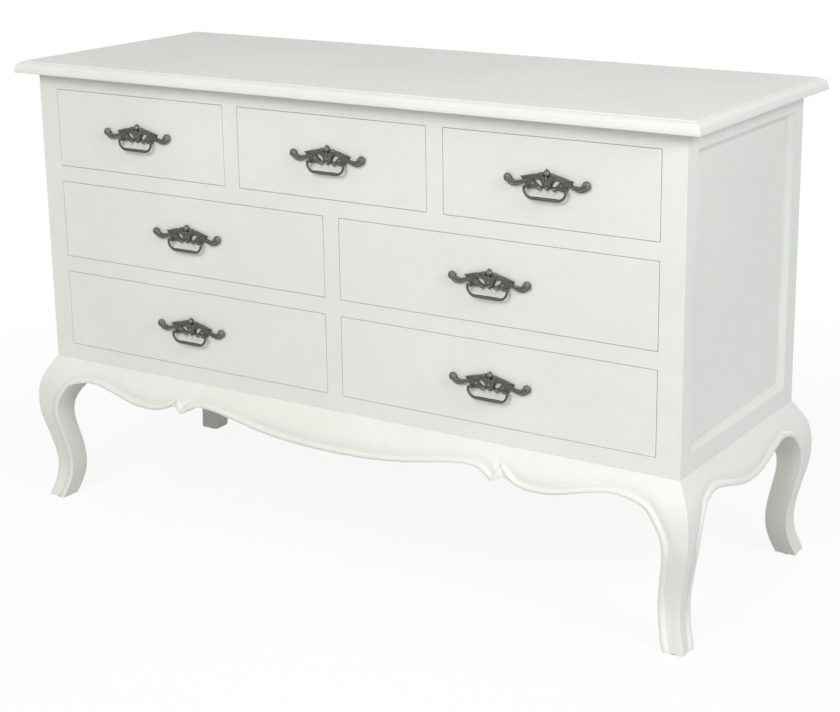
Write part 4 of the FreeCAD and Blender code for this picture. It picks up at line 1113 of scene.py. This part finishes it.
# Bail: a rod bent from pin to pin, thicker in the grip
bail = {"halfWidth": 35.0, "pinEnd": 27.8, "drop": 16.6, "corner": 13.0, "pinCorner": 1.9, "cornerPoints": 12,
        "rod": 2.0, "pin": 1.5, "grip": 2.7, "gripFrom": 30.0, "gripFull": 16.0, "step": 0.9, "sides": 20,
        # where the pin and the grip fade in: inside the arms, over a height, and above the low part
        "pinFrom": 1.6, "pinFull": 3.0, "pinHeights": 1.0, "gripTop": 4.0, "gripLow": 1.0}


def bailTree(sizes):
    b = {name: size * mm for name, size in bail.items()}
    g, wires = newTree("bentBail", sizes)
    rod, arm, low = wires["Rod Radius"], wires["Arm Place"], wires["Grip Height"]
    bent = g.node("GeometryNodeFilletCurve", {"Curve": wires["Geometry"], "Count": bail["cornerPoints"],
                                              "Radius": g.node("GeometryNodeInputRadius")}, mode="POLY")
    even = evenCurve(g, bent, b["step"])
    x, _, z = g.parts(g.node("GeometryNodeInputPosition"))
    across = x.math("ABSOLUTE", x)
    # the pin is the high part inside the arms, the grip the low part between the corners
    isPin = g.between(across, arm - b["pinFull"], arm - b["pinFrom"], 1, 0)
    isPin = isPin * g.between(z, -b["pinHeights"], b["pinHeights"])
    isGrip = g.between(across, b["gripFrom"], b["gripFull"]) * g.between(z, low + b["gripTop"], low + b["gripLow"])
    radius = rod + (wires["Pin Radius"] - rod) * isPin + (wires["Grip Radius"] - rod) * isGrip
    smooth = g.node("GeometryNodeSetShadeSmooth", {"Geometry": rodAlong(g, even, radius, bail["sides"])})
    return closeTree(g, smooth, wires["Material"])


def bailPiece():
    b = bail
    high, low, out = pull["pinHeight"], pull["pinHeight"] - b["drop"], -pull["axisOut"]
    half = [(b["halfWidth"], out, low, b["corner"]), (b["halfWidth"], out, high, b["pinCorner"]),
            (b["pinEnd"], out, high, 0)]
    path = [(-x, y, z, radius) for x, y, z, radius in half[::-1]] + half
    sizes = {"Rod Radius": b["rod"] * mm, "Pin Radius": b["pin"] * mm, "Grip Radius": b["grip"] * mm,
             "Arm Place": b["halfWidth"] * mm, "Grip Height": low * mm}
    made = runTree(curveObject("bail_pattern", "POLY", [path]), bailTree(sizes), sizes, casting)
    return highSpots(made, rubbing["bail"])


# Screws: two pan heads inside the drawer, each with its slot, turned out of true by hand
screw = {"spacing": 60.4, "radius": 4.2, "height": 2.6, "crown": 0.38, "slot": 0.9, "slotDepth": 0.8,
         "slotLength": 20.0, "shank": 2.0, "shankLength": 24.8, "overlap": 0.3, "turn": 25, "sides": 28,
         "shankSides": 20, "crownFrom": 0.5}


def screwTree(sizes):
    g, wires = newTree("panScrews", sizes)
    radius, height, length = wires["Head Radius"], wires["Head Height"], wires["Shank Length"]

    def moved(geometry, z):
        return g.node("GeometryNodeTransform", {"Geometry": geometry, "Translation": g.vector(0.0, 0.0, z)})

    head = g.node("GeometryNodeMeshCylinder", {"Vertices": screw["sides"], "Side Segments": 2, "Fill Segments": 4,
                                               "Radius": radius, "Depth": height}, fill_type="TRIANGLE_FAN")
    x, y, z = g.parts(g.node("GeometryNodeInputPosition"))
    away = (x * x + y * y) / (radius * radius)
    dome = z * (1 - screw["crown"] * away * g.between(z, 0.0, screw["crownFrom"] * mm))
    head = g.node("GeometryNodeSetPosition", {"Geometry": head, "Position": g.vector(x, y, dome)})
    slotSize = g.vector(screw["slotLength"] * mm, wires["Slot Width"], 2 * screw["slotDepth"] * mm)
    slot = moved(g.node("GeometryNodeMeshCube", {"Size": slotSize}), height * 0.5)
    cut = g.node("GeometryNodeMeshBoolean", (head, slot), operation="DIFFERENCE", solver="EXACT")
    shank = g.node("GeometryNodeMeshCylinder", {"Vertices": screw["shankSides"], "Radius": wires["Shank Radius"],
                                                "Depth": length})
    parts = [moved(cut, height * 0.5), moved(shank, length * -0.5 + screw["overlap"] * mm)]
    one = g.node("GeometryNodeJoinGeometry", {"Geometry": parts})
    one = g.node("GeometryNodeTransform", {"Geometry": one,
                                           "Rotation": (math.radians(-90), math.radians(screw["turn"]), 0)})
    start = g.vector(wires["Spacing"] * -0.5, drawerForm["front"] * mm, pull["pinHeight"] * mm)
    points = g.node("GeometryNodeMeshLine", {"Count": 2, "Start Location": start,
                                             "Offset": g.vector(wires["Spacing"], 0.0, 0.0)})
    copies = g.node("GeometryNodeInstanceOnPoints", {"Points": points, "Instance": one})
    return closeTree(g, copies, wires["Material"])


def screwPiece():
    s = screw
    sizes = {"Spacing": s["spacing"] * mm, "Head Radius": s["radius"] * mm, "Head Height": s["height"] * mm,
             "Slot Width": s["slot"] * mm, "Shank Radius": s["shank"] * mm, "Shank Length": s["shankLength"] * mm}
    made = runTree(makeObject("screw_pattern", [(0, 0, 0)], [], zinc), screwTree(sizes), sizes, zinc)
    return softShade(made, sharpAngle=35)


# each pattern with its piece's ending, what moves it, its slot, and the node that it replaces
patterns = [(platePiece(), "_cast_plate", "_drawer", "antique_pewter", "_pull_plate"),
            (bailPiece(), "_cast_bail", "_bail", "antique_pewter", "_pull_bail"),
            (screwPiece(), "_screws", "_drawer", "zinc_steel", "_pull_screws")]
for name in drawerNames:
    left, right, low = openings[name]
    place = ((left + right) / 2, -caseFrame["halfDepth"], low + caseFrame["opening"] / 2 - pull["plateLow"])
    for pattern, ending, body, slotName, node in patterns:
        mesh = pattern.data.copy()
        mesh.transform(Matrix.Translation([value * mm for value in place]))
        dress(newObject(name + ending, mesh), name + body, slotName, name + node)
for pattern, *_ in patterns:
    bpy.data.objects.remove(pattern)
print("pulls made")


# Finishes of the pieces that stay as they are in the frame
keptFinishes = {"left_side_panel": paint, "right_side_panel": paint, "back_panel": backBoard,
                "rear_rails": pineAlongX, "drawer_runners": pineAlongY, "drawer_guides": pineAlongY,
                "drawer_kickers": pineAlongY, "drawer_stops": pineAlongX, "corner_blocks": pineAlongX,
                "foot_glides": glidePlastic}
for name, finish in keptFinishes.items():
    nodes[name].data.materials.clear()
    nodes[name].data.materials.append(finish)
print("finishes given")


# Studio, in metres: pale floor and soft lamps. A lamp is its name, place, size, power and colour
studio = {"world": 0.36, "floorHalf": 30.0, "floorTone": (0.585, 0.605, 0.615), "floorSeen": (0.95, 0.95, 0.95),
          "floorShadow": 0.11, "fadeFrom": 0.8, "fadeTo": 1.8, "aim": (0.0, 0.0, 0.45),
          "lamps": [("frontLamp", (0.5, -3.5, 2.6), 2.0, 84.0, (1.0, 0.997, 0.975)),
                    ("rightLamp", (3.5, -1.1, 2.4), 1.6, 63.0, (0.95, 0.99, 1.0)),
                    ("leftLamp", (-4.0, 0.3, 0.8), 1.2, 24.0, (1.0, 1.0, 1.0)),
                    ("backLamp", (0.5, 4.2, 0.9), 1.0, 20.0, (1.0, 1.0, 1.0))]}


def seenRays(g):
    # 1 for what the camera sees, straight, in a reflection or through glass
    rays = g.node("ShaderNodeLightPath").socket.node.outputs
    direct, glossy, through = [Wire(g, rays[name])
                               for name in ("Is Camera Ray", "Is Glossy Ray", "Is Transmission Ray")]
    total = direct + glossy + through
    return total.math("MINIMUM", total, 1.0)


def makeWorld():
    world = bpy.data.worlds.new("studioWorld")
    bpy.context.scene.world = world
    world.use_nodes = True
    g = Graph(world.node_tree)
    light, white = [g.node("ShaderNodeBackground", {"Color": (1, 1, 1, 1), "Strength": strength})
                    for strength in (studio["world"], 1.0)]
    g.node("ShaderNodeOutputWorld", {"Surface": g.node("ShaderNodeMixShader", (seenRays(g), light, white))})


def makeFloor():
    s = studio
    material, g, place = newMaterial("paleFloor")
    seen = seenRays(g)
    away = g.node("ShaderNodeVectorMath", (place,), out=1, operation="LENGTH")
    share = g.between(away, s["fadeFrom"], s["fadeTo"], s["floorShadow"], 0.0)
    diffuse = g.node("ShaderNodeBsdfDiffuse", {"Color": g.blend(seen, s["floorTone"], s["floorSeen"])})
    glow = g.node("ShaderNodeEmission", {"Color": (1, 1, 1, 1), "Strength": 1.0})
    mixed = g.node("ShaderNodeMixShader", (seen * (1 - share), diffuse, glow))
    g.node("ShaderNodeOutputMaterial", {"Surface": mixed})
    half = s["floorHalf"] / mm
    corners = [(-half, -half, 0), (half, -half, 0), (half, half, 0), (-half, half, 0)]
    makeObject("floor", corners, [[0, 1, 2, 3]], material)


def makeLamps():
    for name, place, size, power, colour in studio["lamps"]:
        light = bpy.data.lights.new(name, "AREA")
        light.shape, light.size, light.energy, light.color = "DISK", size, power, colour
        lamp = newObject(name, light)
        lamp.location = place
        lamp.rotation_euler = (Vector(studio["aim"]) - Vector(place)).to_track_quat("-Z", "Y").to_euler()


# Camera at the photograph's angle: its focal length and centre in pixels, its turns, and where it sees the origin
camera = {"photo": (840, 712), "sensor": 36, "focal": 1812.125, "centre": (445.21, 288.79), "tilt": 0.26213,
          "roll": -0.01068, "turn": -0.56712, "origin": (-0.06213, 0.41326, 3.22008)}


def makeCamera():
    c = camera
    wide, tall = c["photo"]
    swap = Matrix(((1, 0, 0), (0, 0, -1), (0, 1, 0)))
    roll, tilt, turn = [Matrix.Rotation(c[name], 3, axis)
                        for name, axis in (("roll", "Z"), ("tilt", "X"), ("turn", "Z"))]
    toCamera = roll @ tilt @ swap @ turn
    place = -(toCamera.transposed() @ Vector(c["origin"]))
    facing = Matrix((toCamera[0], -toCamera[1], -toCamera[2])).transposed()
    data = bpy.data.cameras.new("photoCamera")
    data.sensor_width = c["sensor"]
    data.lens = c["focal"] * c["sensor"] / wide
    data.shift_x = (wide / 2 - c["centre"][0]) / wide
    data.shift_y = (c["centre"][1] - tall / 2) / wide
    made = newObject("photoCamera", data)
    made.matrix_world = Matrix.Translation(place) @ facing.to_4x4()
    bpy.context.scene.camera = made


makeWorld()
makeFloor()
makeLamps()
makeCamera()
bpy.context.scene.view_settings.view_transform = "Standard"
print("studio made")
